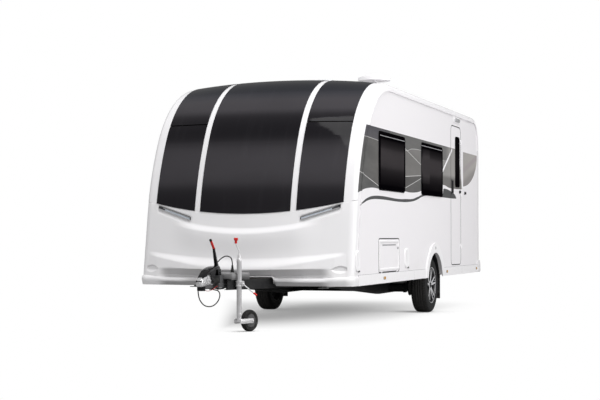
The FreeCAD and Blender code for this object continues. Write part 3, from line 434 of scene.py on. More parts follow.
    def facets(self, g: Graph, y: Shade, z: Shade) -> Shade:
        """The band's colour.

        Args:
            g: the material's graph.
            y: place along the side.
            z: height.
        Returns:
            A grey that lightens towards the rear, with darker and lighter facets that meet along thin pale seams, and a
            painted pinkish reflection with painted shade under it in the rear part.
        """
        tone = g.ramp(g.value("ShaderNodeMapRange", sockets={0: y, 1: -2.45, 2: 3.55, 3: 0.0, 4: 1.0}), self.tones)
        crest = z - g.curve(y, self.crest, -2.2, 1.9, 1.8, 2.0)
        front, middle = y.falls(-1.2, -1.1), y.within(-0.8, 0.9, 0.05)
        navy = crest.rises(-0.002, 0.004) * y.falls(1.5, 1.9)
        streaks = g.noise(2.2, 3.0, 0.6, (1.0, 0.5, 2.4)) - 0.5
        for share, colour in (
                (navy * 0.8, g.mix(front, grey(0.175), (0.085, 0.083, 0.105))),
                (self.under(y, z, self.first) * front * 0.85, grey(0.12, -0.02)),
                (self.under(y, z, self.centre) * middle * 0.9, grey(0.105, 0.01)),
                (self.under(y, z, self.wedge) * middle * 0.85, grey(0.165, 0.01)),
                (self.over(y, z, self.glow).rises(-0.05, 0.1) * middle * (1.0 - navy) * 0.5, grey(0.34, 0.02)),
                (z.falls(1.64, 1.7) * y.within(1.35, 2.45, 0.02) * 0.75, grey(0.17, 0.03)),
                # Painted reflection: a pinkish band along a slanted line in the rear part, and painted shade under it.
                (self.over(y, z, self.painted_reflection_seam).within(-0.05, 0.02, 0.02) * y.rises(2.45, 2.6) * 0.75, (0.56, 0.5, 0.52)),
                (self.over(y, z, self.painted_reflection_seam).falls(-0.2, -0.09) * y.rises(2.5, 2.6) * 0.5, (0.24, 0.215, 0.225)),
                ((streaks * 0.5 + 0.12).clamped(), grey(0.42, 0.03)), (0.36, (0.0, 0.0, 0.0))):
            tone = g.mix(share, tone, colour)
        lines = abs(crest).falls(self.seam, self.seam * 2.0) * y.falls(1.4, 1.5) * 0.6
        for seam, low, high in ((self.first, -2.35, -1.5), (self.glow, -0.55, 0.35), (self.wedge, -0.55, 0.35),
                                (self.centre, -0.55, 0.35)):
            near = abs(self.over(y, z, seam)).falls(self.seam, self.seam * 2.2)
            lines = g.math("MAXIMUM", lines, near * y.within(low, high, 0.02) * 0.85)
        return g.mix(lines, tone, grey(0.6, 0.01))


@dataclass(frozen=True)
class DarkGlass(Finish):
    """Smoked acrylic: near black, with painted reflection: soft lighter bands across it where the panes curve, and a
    navy sky reflection painted near the top where asked.
    """

    name: str = "dark_glass"
    # Painted reflection: the lighter bands by height in the glow colour, and the sky colour painted above its height.
    bands: Table = ((1.0, 0.0), (2.0, 0.5))
    low: float = 1.0
    high: float = 2.0
    tint: Colour = (0.004, 0.0035, 0.005)
    glow: Colour = (0.048, 0.045, 0.05)
    sky: Colour = (0.018, 0.024, 0.036)
    sky_reflection_from: float = 9.0
    panes: tuple[Quad, ...] = ()
    gloss: float = 0.1
    frame: float = 0.055
    rail: float = 0.045

    def paint(self, g: Graph) -> bpy.types.Material:
        """Builds the finish's nodes."""
        _, y, z = g.axes()
        # Painted reflection: a lighter level by height, varied by noise and horizontal streaks, from the tint to the
        # glow colour, turning to a painted navy sky near the top.
        level = g.curve(z, self.bands, self.low, self.high, 0.0, 1.0)
        reflection_drift = g.noise(1.3, 2.0, 0.5, (0.8, 0.8, 2.0)) * 0.4 + 0.8
        reflection_streak = g.noise(3.0, 3.0, 0.6, (3.2, 0.15, 0.35)).rises(0.5, 0.8)
        level = (level * reflection_drift + reflection_streak * 0.1).clamped()
        base = g.mix(z.rises(self.sky_reflection_from, self.sky_reflection_from + 0.25), self.glow, self.sky)
        rails: Operand = 0.0
        if self.panes:
            inside: Operand = 0.0
            for y0, y1, z0, z1 in self.panes:
                glass = y.within(y0 + self.frame, y1 - self.frame, 0.006) * z.within(z0 + self.frame, z1 - 0.075, 0.012)
                inside = glass + inside
                line = abs(z - (z1 - self.rail)).falls(0.0025, 0.0045)
                rails = line * y.within(y0 + 0.03, y1 - 0.03, 0.002) + rails
            level = level * inside
        base = g.mix(level, self.tint, base)
        if self.panes:
            base = g.mix(rails, base, (0.3, 0.3, 0.31))
        smear = g.noise(7.0, 4.0, 0.65).rises(0.45, 0.8)
        return g.surface(Base_Color=base, Roughness=smear * 0.06 + 0.06, Specular_IOR_Level=self.gloss,
                         Normal=g.bump(g.noise(1.8, 1.0), 0.003))


@dataclass(frozen=True)
class Moulded(Finish):
    """Moulded plastic or rubber with a fine grain, scuffs and dust that gathers low down."""

    name: str
    colour: Colour
    rough: float = 0.45
    grain: float = 900.0
    depth: float = 0.00012
    scuff: float = 0.25
    dust: float = 0.15
    coat: float = 0.0
    gloss: float = 0.25
    behind: float | None = None
    behind_colour: Colour = (0.8, 0.79, 0.8)

    def paint(self, g: Graph) -> bpy.types.Material:
        """Builds the finish's nodes."""
        _, y, z = g.axes()
        patches = g.noise(14.0, 4.0, 0.62)
        fine = g.noise(self.grain, 2.0)
        light = tuple(min(1.0, c * 1.35 + 0.012) for c in self.colour)
        base = g.mix(patches.rises(0.45, 0.78) * self.scuff, self.colour, light)
        low = z.falls(0.1, 0.7) * g.noise(30.0, 3.0, 0.6).rises(0.4, 0.75)
        base = g.mix(low * self.dust, base, (0.3, 0.285, 0.26))
        if self.behind is not None:
            base = g.mix(y.rises(self.behind, self.behind + 0.01), base, self.behind_colour)
        rough = patches * 0.16 + (self.rough - 0.08)
        return g.surface(Base_Color=base, Roughness=rough, Coat_Weight=self.coat, Coat_Roughness=0.1,
                         Specular_IOR_Level=self.gloss, Normal=g.bump(fine, self.depth))


class Metal(Enum):
    """The metals, as (colour, roughness, edge colour, brushing along x, y, z, metallic)."""

    GALVANISED = ((0.47, 0.48, 0.49), 0.42, (0.66, 0.67, 0.68), (1.0, 1.0, 1.0), 1.0)
    ZINC = ((0.7, 0.695, 0.705), 0.34, (0.84, 0.84, 0.85), (1.0, 1.0, 0.06), 0.35)
    BRIGHT_CAST = ((0.66, 0.66, 0.67), 0.26, (0.88, 0.88, 0.89), (1.0, 1.0, 1.0), 0.6)
    CHROME = ((0.8, 0.8, 0.82), 0.09, (0.9, 0.9, 0.9), (1.0, 1.0, 1.0), 0.65)
    CAST = ((0.16, 0.155, 0.15), 0.6, (0.33, 0.31, 0.29), (1.0, 1.0, 1.0), 0.75)
    GLOSS_BLACK = ((0.006, 0.006, 0.007), 0.2, (0.05, 0.05, 0.055), (1.0, 1.0, 1.0), 0.0)
    COATED = ((0.011, 0.011, 0.012), 0.38, (0.06, 0.06, 0.063), (1.0, 1.0, 1.0), 0.0)


@dataclass(frozen=True)
class Metalwork(Finish):
    """Bare, plated or powder-coated metal with rounded, worn edges."""

    name: str
    metal: Metal
    edge: float = 0.0015
    spangle: float = 0.0
    dust: float = 0.2

    def paint(self, g: Graph) -> bpy.types.Material:
        """Builds the finish's nodes."""
        colour, rough, bright, brush, metallic = self.metal.value
        _, _, z = g.axes()
        rounded, edges = g.worn_edges(self.edge)
        stains = g.noise(16.0, 4.0, 0.6)
        base = g.mix(stains * 0.5, colour, tuple(0.78 * c for c in colour))
        if self.spangle:
            flakes = g.cells(self.spangle)
            level = g.value("ShaderNodeSeparateColor", sockets={0: flakes})
            base = g.mix(level * 0.45, base, tuple(min(1.0, 1.35 * c) for c in colour))
        base = g.mix(edges * g.noise(60.0, 2.0).rises(0.25, 0.6), base, bright)
        low = z.falls(0.25, 0.75) * g.noise(22.0, 4.0, 0.65).rises(0.42, 0.78) * self.dust
        base = g.mix(low, base, (0.24, 0.225, 0.205))
        lines = g.noise(260.0, 2.0, 0.5, brush)
        return g.surface(Base_Color=base, Roughness=stains * 0.22 + low * 0.3 + (rough - 0.1),
                         Specular_IOR_Level=0.2, Metallic=metallic - low * metallic * 0.8,
                         Normal=g.bump(lines, 0.00005, 0.7, rounded))


@dataclass(frozen=True)
class Lens(Finish):
    """A moulded lamp lens: clear skin over fine optics."""

    name: str
    colour: Colour
    pitch: float = 0.006
    along: Triple = (0.0, 1.0, 0.0)
    upper: Colour | None = None
    rough: float = 0.08

    def paint(self, g: Graph) -> bpy.types.Material:
        """Builds the finish's nodes."""
        x, y, z = g.axes()
        travel = x * self.along[0] + y * self.along[1] + z * self.along[2]
        wave = g.math("SINE", travel * (TWO_PI / self.pitch)) * 0.5 + 0.5
        dark = tuple(0.45 * c for c in self.colour)
        base = g.mix(wave * 0.8 + g.noise(40.0, 2.0) * 0.2, dark, self.colour)
        if self.upper is not None:
            base = g.mix(z.rises(1.2, 1.21), base, g.mix(wave, tuple(0.7 * c for c in self.upper), self.upper))
        return g.surface(Base_Color=base, Roughness=g.noise(30.0, 2.0) * 0.06 + self.rough, Coat_Weight=0.8,
                         Coat_Roughness=0.03, Specular_IOR_Level=0.3, Normal=g.bump(wave, 0.0004))


@dataclass(frozen=True)
class Board(Finish):
    """Floor board, sheeted in grey with a faint grain."""

    name: str = "floor_board"

    def paint(self, g: Graph) -> bpy.types.Material:
        """Builds the finish's nodes."""
        grain = g.noise(9.0, 5.0, 0.6, (1.0, 0.08, 1.0))
        base = g.mix(grain, (0.2, 0.185, 0.165), (0.3, 0.275, 0.24))
        return g.surface(Base_Color=base, Roughness=grain * 0.2 + 0.45, Normal=g.bump(grain, 0.0004))


@dataclass(frozen=True)
class Tyre(Finish):
    """Tyre rubber: dark sides, greyer where it meets the road."""

    name: str = "tyre_rubber"
    hub_y: float = 0.95
    hub_z: float = 0.327
    radius: float = 0.327

    def paint(self, g: Graph) -> bpy.types.Material:
        """Builds the finish's nodes."""
        _, y, z = g.axes()
        away = ((y - self.hub_y) ** 2.0 + (z - self.hub_z) ** 2.0) ** 0.5
        worn = away.rises(self.radius - 0.01, self.radius - 0.002)
        dusty = g.noise(18.0, 4.0, 0.65)
        base = g.mix(dusty * 0.6, (0.013, 0.013, 0.014), (0.03, 0.029, 0.028))
        base = g.mix(worn * 0.7, base, (0.05, 0.048, 0.046))
        return g.surface(Base_Color=base, Roughness=dusty * 0.2 + 0.52, Specular_IOR_Level=0.2,
                         Normal=g.bump(g.noise(500.0, 2.0), 0.0001))


@dataclass(frozen=True)
class Alloy(Finish):
    """Cast alloy wheel: black lacquer, with the outer faces turned bright."""

    name: str = "wheel_alloy"
    face_x: float = 1.064

    def paint(self, g: Graph) -> bpy.types.Material:
        """Builds the finish's nodes."""
        x, _, _ = g.axes()
        facing = g.value("ShaderNodeSeparateXYZ", sockets={0: g.value("ShaderNodeNewGeometry", output="True Normal")})
        turned = abs(x).rises(self.face_x - 0.001, self.face_x) * abs(facing).rises(0.92, 0.97)
        rings = g.noise(900.0, 1.0, 0.5, (0.0, 1.0, 1.0))
        base = g.mix(turned, g.mix(g.noise(20.0, 3.0) * 0.6, (0.011, 0.011, 0.012), (0.024, 0.024, 0.026)),
                     (0.74, 0.74, 0.76))
        return g.surface(Base_Color=base, Metallic=turned * 0.35, Roughness=rings * 0.08 + 0.24, Coat_Weight=0.25,
                         Coat_Roughness=0.05, Normal=g.bump(rings, 0.00002))


SHELL_WHITE = BodyPaint("shell_white", (0.82, 0.812, 0.825), 0.24, 0.0006, 0.18, True)
# The nose's white, with painted shade in its scoop and round its bumper.
NOSE_WHITE_PAINTED_SHADE = BodyPaint("nose_white_painted_shade", (0.82, 0.812, 0.825), 0.24, 0.0006, 0.18, painted_shade=True)
WALL_WHITE = BodyPaint("wall_white", (0.8, 0.783, 0.802), 0.3, 0.0004, 0.05, True)
MOULDED_WHITE = Moulded("white_moulded", (0.85, 0.838, 0.852), 0.36, 700.0, 0.00006, 0.2, 0.2, 0.06)
FRONT_GLASS = DarkGlass("front_glass", (
    (1.1, 0.3), (1.22, 0.25), (1.34, 0.3), (1.5, 0.85), (1.68, 0.95), (1.86, 0.55), (1.98, 0.15), (2.1, 0.2),
    (2.2, 0.74), (2.27, 1.0), (2.37, 0.85), (2.45, 0.35), (2.6, 0.0)), 1.1, 2.6, sky_reflection_from=2.3)
SIDE_GLASS = DarkGlass("side_glass", (
    (1.38, 0.0), (1.46, 0.05), (1.6, 0.35), (1.7, 0.95), (1.78, 1.0), (1.86, 0.45), (1.95, 0.1), (2.03, 0.0)),
    1.38, 2.03, glow=(0.038, 0.034, 0.036), tint=(0.0015, 0.0012, 0.0018), gloss=0.0, rail=0.04,
    panes=tuple(edges for _, edges in WINDOWS[:2] + WINDOWS[3:]))
DOOR_GLASS = DarkGlass("door_glass", ((1.5, 0.0), (1.7, 0.3), (1.9, 0.8), (2.1, 0.3), (2.25, 0.0)), 1.5, 2.25,
                       glow=(0.006, 0.0055, 0.006), tint=(0.0015, 0.0012, 0.0018), gloss=0.0)
GREY_TRIM = Moulded("grey_trim", (0.3, 0.3, 0.31), 0.45)
HUB_GREY = Moulded("hub_grey", (0.075, 0.075, 0.078), 0.45)
COVER_GREY = Moulded("cover_grey", (0.215, 0.213, 0.217), 0.5, 700.0, 0.0002, 0.35, 0.25)
BLACK_TRIM = Moulded("black_trim", (0.016, 0.016, 0.017), 0.48, 800.0, 0.00015, 0.4, 0.2)
DOOR_TRIM = Moulded("door_trim", (0.03, 0.03, 0.032), 0.42, 800.0, 0.0001, 0.3, 0.1, 0.0, 0.2, 2.2)
SOFT_RUBBER = Moulded("soft_rubber", (0.014, 0.014, 0.014), 0.62, 600.0, 0.0002, 0.4, 0.4)
JOCKEY_RUBBER = Moulded("jockey_rubber", (0.011, 0.011, 0.011), 0.6, 600.0, 0.0002, 0.3, 0.06)
SEAL_RUBBER = Moulded("seal_rubber", (0.02, 0.02, 0.021), 0.55, 500.0, 0.0001, 0.3, 0.1)
RED_PLASTIC = Moulded("red_plastic", (0.6, 0.016, 0.012), 0.35, 700.0, 0.0001, 0.25, 0.1, 0.2)
RED_CABLE = Moulded("red_cable", (0.42, 0.015, 0.013), 0.4, 900.0, 0.0001, 0.25, 0.1)
ROOF_DOME = Moulded("roof_dome", (0.74, 0.75, 0.77), 0.2, 300.0, 0.00004, 0.15, 0.0, 0.5)
GALVANISED = Metalwork("galvanised", Metal.GALVANISED, 0.0015, 90.0)
ZINC = Metalwork("bright_zinc", Metal.ZINC)
COATED = Metalwork("coated_steel", Metal.COATED, 0.0015, 0.0, 0.08)
BRIGHT_CAST = Metalwork("bright_casting", Metal.BRIGHT_CAST, 0.002, 40.0, 0.1)
GLOSS_BLACK = Metalwork("gloss_black", Metal.GLOSS_BLACK, 0.001, 0.0, 0.03)
CAST = Metalwork("cast_iron", Metal.CAST, 0.003)
CHROME = Metalwork("chrome", Metal.CHROME, 0.0006, dust=0.0)
BOARD = Board()
TYRE = Tyre()
WHEEL_ALLOY = Alloy()
RED_LENS = Lens("red_lens", (0.42, 0.008, 0.01), 0.008, (0.0, 0.0, 1.0))
AMBER_LENS = Lens("amber_lens", (0.9, 0.44, 0.02), 0.007, (0.0, 1.0, 0.0))
SIDE_LENS = Lens("side_lens", (0.85, 0.36, 0.02), 0.007, upper=(0.7, 0.7, 0.72))
CLEAR_LENS = Lens("clear_lens", (0.62, 0.68, 0.76), 0.012, (1.0, 0.0, 0.0))
LAMP_END = Lens("lamp_end", (0.045, 0.045, 0.05), 0.01, (1.0, 0.0, 0.6))
POD_LENS = Moulded("pod_lens", (0.43, 0.43, 0.45), 0.22, 400.0, 0.00005, 0.1, 0.0, 0.5)


# ---------------- surfaces
def place_object(name: str, data: bpy.types.ID) -> bpy.types.Object:
    """Makes an object of some data and puts it into the scene."""
    made = bpy.data.objects.new(name, data)
    bpy.context.scene.collection.objects.link(made)
    return made


def unit(vectors: np.ndarray) -> np.ndarray:
    """Vectors divided by their lengths."""
    return vectors / np.maximum(np.linalg.norm(vectors, axis=-1, keepdims=True), 1e-12)


def ease(share: np.ndarray) -> np.ndarray:
    """Smooth step: 3s^2 - 2s^3 of a share kept between 0 and 1."""
    kept = np.clip(share, 0.0, 1.0)
    return kept * kept * (3.0 - 2.0 * kept)


def bezier(a: np.ndarray, b: np.ndarray, c: np.ndarray, share: np.ndarray) -> np.ndarray:
    """Quadratic curve: (1-s)^2 a + 2s(1-s) b + s^2 c."""
    return (1 - share) ** 2 * a + 2 * share * (1 - share) * b + share ** 2 * c


def spline_through(points: Sequence[Sequence[float]], count: int) -> np.ndarray:
    """A smooth path through points: cubic pieces, each point's slope half the step from its neighbours.

    Args:
        points: what it goes through.
        count: how many samples it has.
    Returns:
        The samples, evenly spread over the pieces.
    """
    p = np.asarray(points, float)
    slope = np.gradient(p, axis=0)
    at = np.linspace(0, len(p) - 1, count)
    k = np.clip(at.astype(int), 0, len(p) - 2)
    s = (at - k)[:, None]
    return ((2 * s ** 3 - 3 * s ** 2 + 1) * p[k] + (s ** 3 - 2 * s ** 2 + s) * slope[k]
            + (3 * s ** 2 - 2 * s ** 3) * p[k + 1] + (s ** 3 - s ** 2) * slope[k + 1])


def xyz(x: np.ndarray | float, y: np.ndarray | float, z: np.ndarray | float) -> np.ndarray:
    """Points from their coordinates, each spread to the shape of all."""
    return np.stack(np.broadcast_arrays(x, y, z), axis=-1)


def read_off(place: np.ndarray, table: Table) -> np.ndarray:
    """Values of a table of (place, value), straight in between."""
    return np.interp(place, *zip(*table))


def rounded_ring(half_u: float, half_v: float, radius: float, steps: int = 6) -> np.ndarray:
    """Outline of a rounded rectangle: four quarter arcs, one after the other, as (u, v).

    Args:
        half_u, half_v: half sizes.
        radius: of its corners.
        steps: pieces in each corner's arc.
    Returns:
        The outline's (u, v) points.
    """
    corner = np.repeat(np.arange(4), steps + 1)
    angle = np.tile(np.linspace(0, math.pi / 2, steps + 1), 4) + corner * math.pi / 2
    sign_u = np.where((corner == 0) | (corner == 3), 1.0, -1.0)
    sign_v = np.where(corner < 2, 1.0, -1.0)
    return np.stack((sign_u * (half_u - radius) + radius * np.cos(angle),
                     sign_v * (half_v - radius) + radius * np.sin(angle)), axis=1)


def inset_ring(ring: np.ndarray, depth: float) -> np.ndarray:
    """A counterclockwise outline moved inwards along the normals halfway between its neighbouring edges.

    Args:
        ring: the outline.
        depth: how far in.
    Returns:
        The new outline.
    """
    ahead = unit(np.roll(ring, -1, 0) - ring)
    behind = unit(ring - np.roll(ring, 1, 0))
    normal = np.stack((-(ahead + behind)[:, 1], (ahead + behind)[:, 0]), axis=1)
    half = np.linalg.norm(normal, axis=1, keepdims=True) / 2.0
    return ring + unit(normal) * depth / np.maximum(half, 0.35)


@dataclass(frozen=True)
class Plane:
    """A flat place to build on: an origin, two directions across it and one out of it."""

    origin: Sequence[float]
    u: Sequence[float]
    v: Sequence[float]
    out: Sequence[float]

    def at(self, ring: np.ndarray, height: float | np.ndarray) -> np.ndarray:
        """Points of a ring (u, v), raised along out: origin + u*U + v*V + height*OUT."""
        raised = np.broadcast_to(np.asarray(height, float), ring.shape[:-1])[..., None]
        return (np.asarray(self.origin) + ring[..., :1] * np.asarray(self.u) + ring[..., 1:2] * np.asarray(self.v)
                + raised * np.asarray(self.out))


class Form:
    """A mesh gathered from grids of points, then made into an object."""

    def __init__(self) -> None:
        """Starts with nothing."""
        self.points: list[np.ndarray] = []
        self.faces: list[np.ndarray] = []
        self.count = 0

    def grid(self, surface: np.ndarray, round_u: bool = False, round_v: bool = False) -> "Form":
        """Adds the quads of a surface given as points[u, v], closed along u or v where asked.

        Args:
            surface: the points.
            round_u: whether it closes along u.
            round_v: whether it closes along v.
        Returns:
            The form.
        """
        rows, columns = surface.shape[:2]
        index = np.arange(rows * columns).reshape(rows, columns) + self.count
        index = np.vstack((index, index[:1])) if round_u else index
        index = np.hstack((index, index[:, :1])) if round_v else index
        quads = np.stack((index[:-1, :-1], index[1:, :-1], index[1:, 1:], index[:-1, 1:]), axis=-1)
        self.faces.append(quads.reshape(-1, 4))
        self.points.append(surface.reshape(-1, 3))
        self.count += rows * columns
        return self

    def cap(self, ring: np.ndarray) -> "Form":
        """Closes a ring with triangles round its middle."""
        index = np.arange(len(ring)) + self.count
        middle = np.full(len(ring), self.count + len(ring))
        self.faces.append(np.stack((index, np.roll(index, -1), middle), axis=1))
        self.points.append(np.vstack((ring, ring.mean(axis=0))))
        self.count += len(ring) + 1
        return self

    def loft(self, rings: np.ndarray) -> "Form":
        """A closed solid through rings[k, around], capped at both ends."""
        return self.grid(rings, round_v=True).cap(rings[0]).cap(rings[-1])

    def plate(self, plane: Plane, ring: np.ndarray, layers: Sequence[Pair]) -> "Form":
        """A solid whose outline is taken in by each layer's first number at the height of its second."""
        return self.loft(np.stack([plane.at(inset_ring(ring, inset), height) for inset, height in layers]))

    def band(self, plane: Plane, ring: np.ndarray, layers: Sequence[Pair]) -> "Form":
        """A frame: the layers are the points of its section, gone round and closed."""
        rings = np.stack([plane.at(inset_ring(ring, inset), height) for inset, height in layers])
        return self.grid(rings, round_u=True, round_v=True)

    def turned(self, start: Sequence[float], direction: Sequence[float], profile: Sequence[Pair],
               sides: int = 32) -> "Form":
        """A solid of revolution: each (distance along, radius) of the profile is a circle about the axis.

        Args:
            start: a point on the axis.
            direction: the way of the axis.
            profile: its section.
            sides: points round it.
        Returns:
            The form.
        """
        axis = unit(np.asarray(direction, float))
        side = unit(np.cross(axis, (0.31, 0.57, 0.76)))
        other = np.cross(axis, side)
        angle = np.linspace(0, TWO_PI, sides, endpoint=False)
        circle = np.cos(angle)[:, None] * side + np.sin(angle)[:, None] * other
        shape = np.asarray(profile, float)
        rings = np.asarray(start, float) + shape[:, None, :1] * axis + shape[:, None, 1:] * circle
        return self.loft(rings)

    def tube(self, path: np.ndarray, radius: float, sides: int = 12) -> "Form":
        """A tube round a path: circles across the path's tangent.

        Args:
            path: points along its middle.
            radius: of each circle.
            sides: points round it.
        Returns:
            The form.
        """
        tangent = unit(np.gradient(path, axis=0))
        side = unit(np.cross(tangent, UP if np.abs(tangent[:, 2]).max() < 0.95 else (1.0, 0.0, 0.0)))
        other = np.cross(side, tangent)[:, None]
        angle = np.linspace(0, TWO_PI, sides, endpoint=False)[:, None]
        return self.loft(path[:, None] + radius * (np.cos(angle) * side[:, None] + np.sin(angle) * other))

    def bolt(self, place: Sequence[float], out: Sequence[float], size: float) -> "Form":
        """A hexagon head on a washer, with its top chamfered."""
        self.turned(place, out, ((0.0, size * 1.25), (size * 0.16, size * 1.25)), 20)
        return self.turned(place, out, ((size * 0.16, size), (size * 0.72, size), (size * 0.85, size * 0.82)), 6)

    def joined(self, other: "Form") -> "Form":
        """Takes in another form."""
        self.points += other.points
        self.faces += [block + self.count for block in other.faces]
        self.count += other.count
        return self

    def mirrored(self) -> "Form":
        """Adds the same again on the other side of X = 0."""
        points, faces, count = list(self.points), list(self.faces), self.count
        self.points += [p * (-1.0, 1.0, 1.0) for p in points]
        self.faces += [f[:, ::-1] + count for f in faces]
        self.count *= 2
        return self

    def piece(self, name: str, finish: Finish, slot: str, angle: float = 35.0, body: str = "shell",
              nodes: Sequence[str] = (), sheet: float = 0.0, closed: bool = True) -> bpy.types.Object:
        """Makes the object, dresses it and lets it ride.

        Args:
            name: the piece's name.
            finish: what it is made of.
            slot: a material slot's name; not used.
            angle: edges sharper than this, in degrees, stay sharp.
            body: the CAD body that it moves with.
            nodes: the CAD nodes that it stands for.
            sheet: wall thickness given to an open skin, inwards.
            closed: whether its normals can be worked out from its inside.
        Returns:
            The object.
        """
        mesh = bpy.data.meshes.new(name)
        faces = [row for block in self.faces for row in block.tolist()]
        mesh.from_pydata(np.vstack(self.points).tolist(), [], faces)
        work = bmesh.new()
        work.from_mesh(mesh)
        bmesh.ops.remove_doubles(work, verts=work.verts, dist=1e-6)
        bmesh.ops.dissolve_degenerate(work, edges=work.edges, dist=1e-7)
        if closed:
            bmesh.ops.recalc_face_normals(work, faces=work.faces)
        work.to_mesh(mesh)
        work.free()
        mesh.shade_smooth()
        mesh.set_sharp_from_angle(angle=math.radians(angle))
        made = place_object(name, mesh)
        if sheet:
            wall = made.modifiers.new("sheet", "SOLIDIFY")
            wall.thickness = sheet
            wall.offset = -1.0
        mesh.materials.append(finish.material())
        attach(made, body)
        if nodes:
            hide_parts(*nodes)
        LOG.info("piece %s: %d faces on %s", name, len(mesh.polygons), body)
        return made


class Facing(Enum):
    """Which way a flat outline looks, as its two directions across and the one out."""

    NEARSIDE = ((0, 1, 0), UP, (1, 0, 0))
    OFFSIDE = ((0, -1, 0), UP, (-1, 0, 0))
    REAR = ((-1, 0, 0), UP, (0, 1, 0))
    TOP = ((1, 0, 0), (0, 1, 0), UP)


def panel_on(side: Facing, at: float, edges: Quad, radius: float, steps: int) -> tuple[Plane, np.ndarray]:
    """A rounded rectangle that looks one way.

    Args:
        side: which way it looks.
        at: where its plane is, along that way.
        edges: its low and high edge across, then up (along +Y on the top).
        radius: of its corners.
        steps: pieces in each corner's arc.
    Returns:
        Its plane and its outline.
    """
    u0, u1, v0, v1 = edges
    across, up = (u0 + u1) / 2, (v0 + v1) / 2
    origin = {Facing.TOP: (across, up, at), Facing.REAR: (across, at, up)}.get(side, (at, across, up))
    return Plane(origin, *side.value), rounded_ring((u1 - u0) / 2, (v1 - v0) / 2, radius, steps)


def slab(thick: float, edge: float = 0.001) -> Sequence[Pair]:
    """Layers of a plate with both its rims chamfered."""
    return (edge, 0.0), (0.0, edge), (0.0, thick - edge), (edge, thick)


# ---------------- front end
@dataclass(frozen=True)
class NoseSkin:
    """The body's front surface: a straight lean, then two arcs up on to the roof."""

    nose_y: float = -2.585
    sag: float = 0.12
    crown: float = 0.055
    wall_x: float = 1.128
    radius: float = 2.6
    low: float = math.radians(9.0)
    mid: float = math.radians(28.0)
    nose_z: float = 1.15
    roof_z: float = 2.6

    def depth(self, x: np.ndarray, z: np.ndarray) -> np.ndarray:
        """The skin's y: the plan sags with x squared; in height a lean of 9 degrees meets two arcs.

        Args:
            x: distance from the middle plane.
            z: height.
        Returns:
            The y of the skin there.
        """
        share = (x / self.wall_x) ** 2
        front, drop = self.nose_y + self.sag * share, self.crown * share
        z0 = self.nose_z - drop
        c1y, c1z = front + self.radius * math.cos(self.low), z0 - self.radius * math.sin(self.low)
        joint_y = c1y - self.radius * math.cos(self.mid)
        joint_z = c1z + self.radius * math.sin(self.mid)
        top = self.roof_z - drop
        r2 = (top - joint_z) / (1 - math.sin(self.mid))
        c2y, c2z = joint_y + r2 * math.cos(self.mid), top - r2
        straight = front - (z0 - z) * math.tan(self.low)
        lower = c1y - np.sqrt(np.maximum(self.radius ** 2 - (z - c1z) ** 2, 0.0))
        upper = c2y - np.sqrt(np.maximum(r2 ** 2 - (z - c2z) ** 2, 0.0))
        return np.where(z < z0, straight, np.where(z < joint_z, lower, upper))

    def wall_edge(self, z: np.ndarray, inset: float = 0.15, lift: float = 0.08) -> np.ndarray:
        """Front edge of the side wall: the outline at the wall taken in by inset and lifted.

        Args:
            z: heights.
            inset: how far in.
            lift: how far up.
        Returns:
            The y of the edge at each height.
        """
        front = self.nose_y + self.sag
        z0 = self.nose_z - self.crown
        cy, cz = front + self.radius * math.cos(self.low), z0 - self.radius * math.sin(self.low)
        r = self.radius - inset
        start_y, start_z = cy - r * math.cos(self.low), cz + r * math.sin(self.low)
        height = z - lift
        arc = cy - np.sqrt(np.maximum(r ** 2 - (height - cz) ** 2, 0.0))
        return np.where(height < start_z, start_y - (start_z - height) * math.tan(self.low), arc)


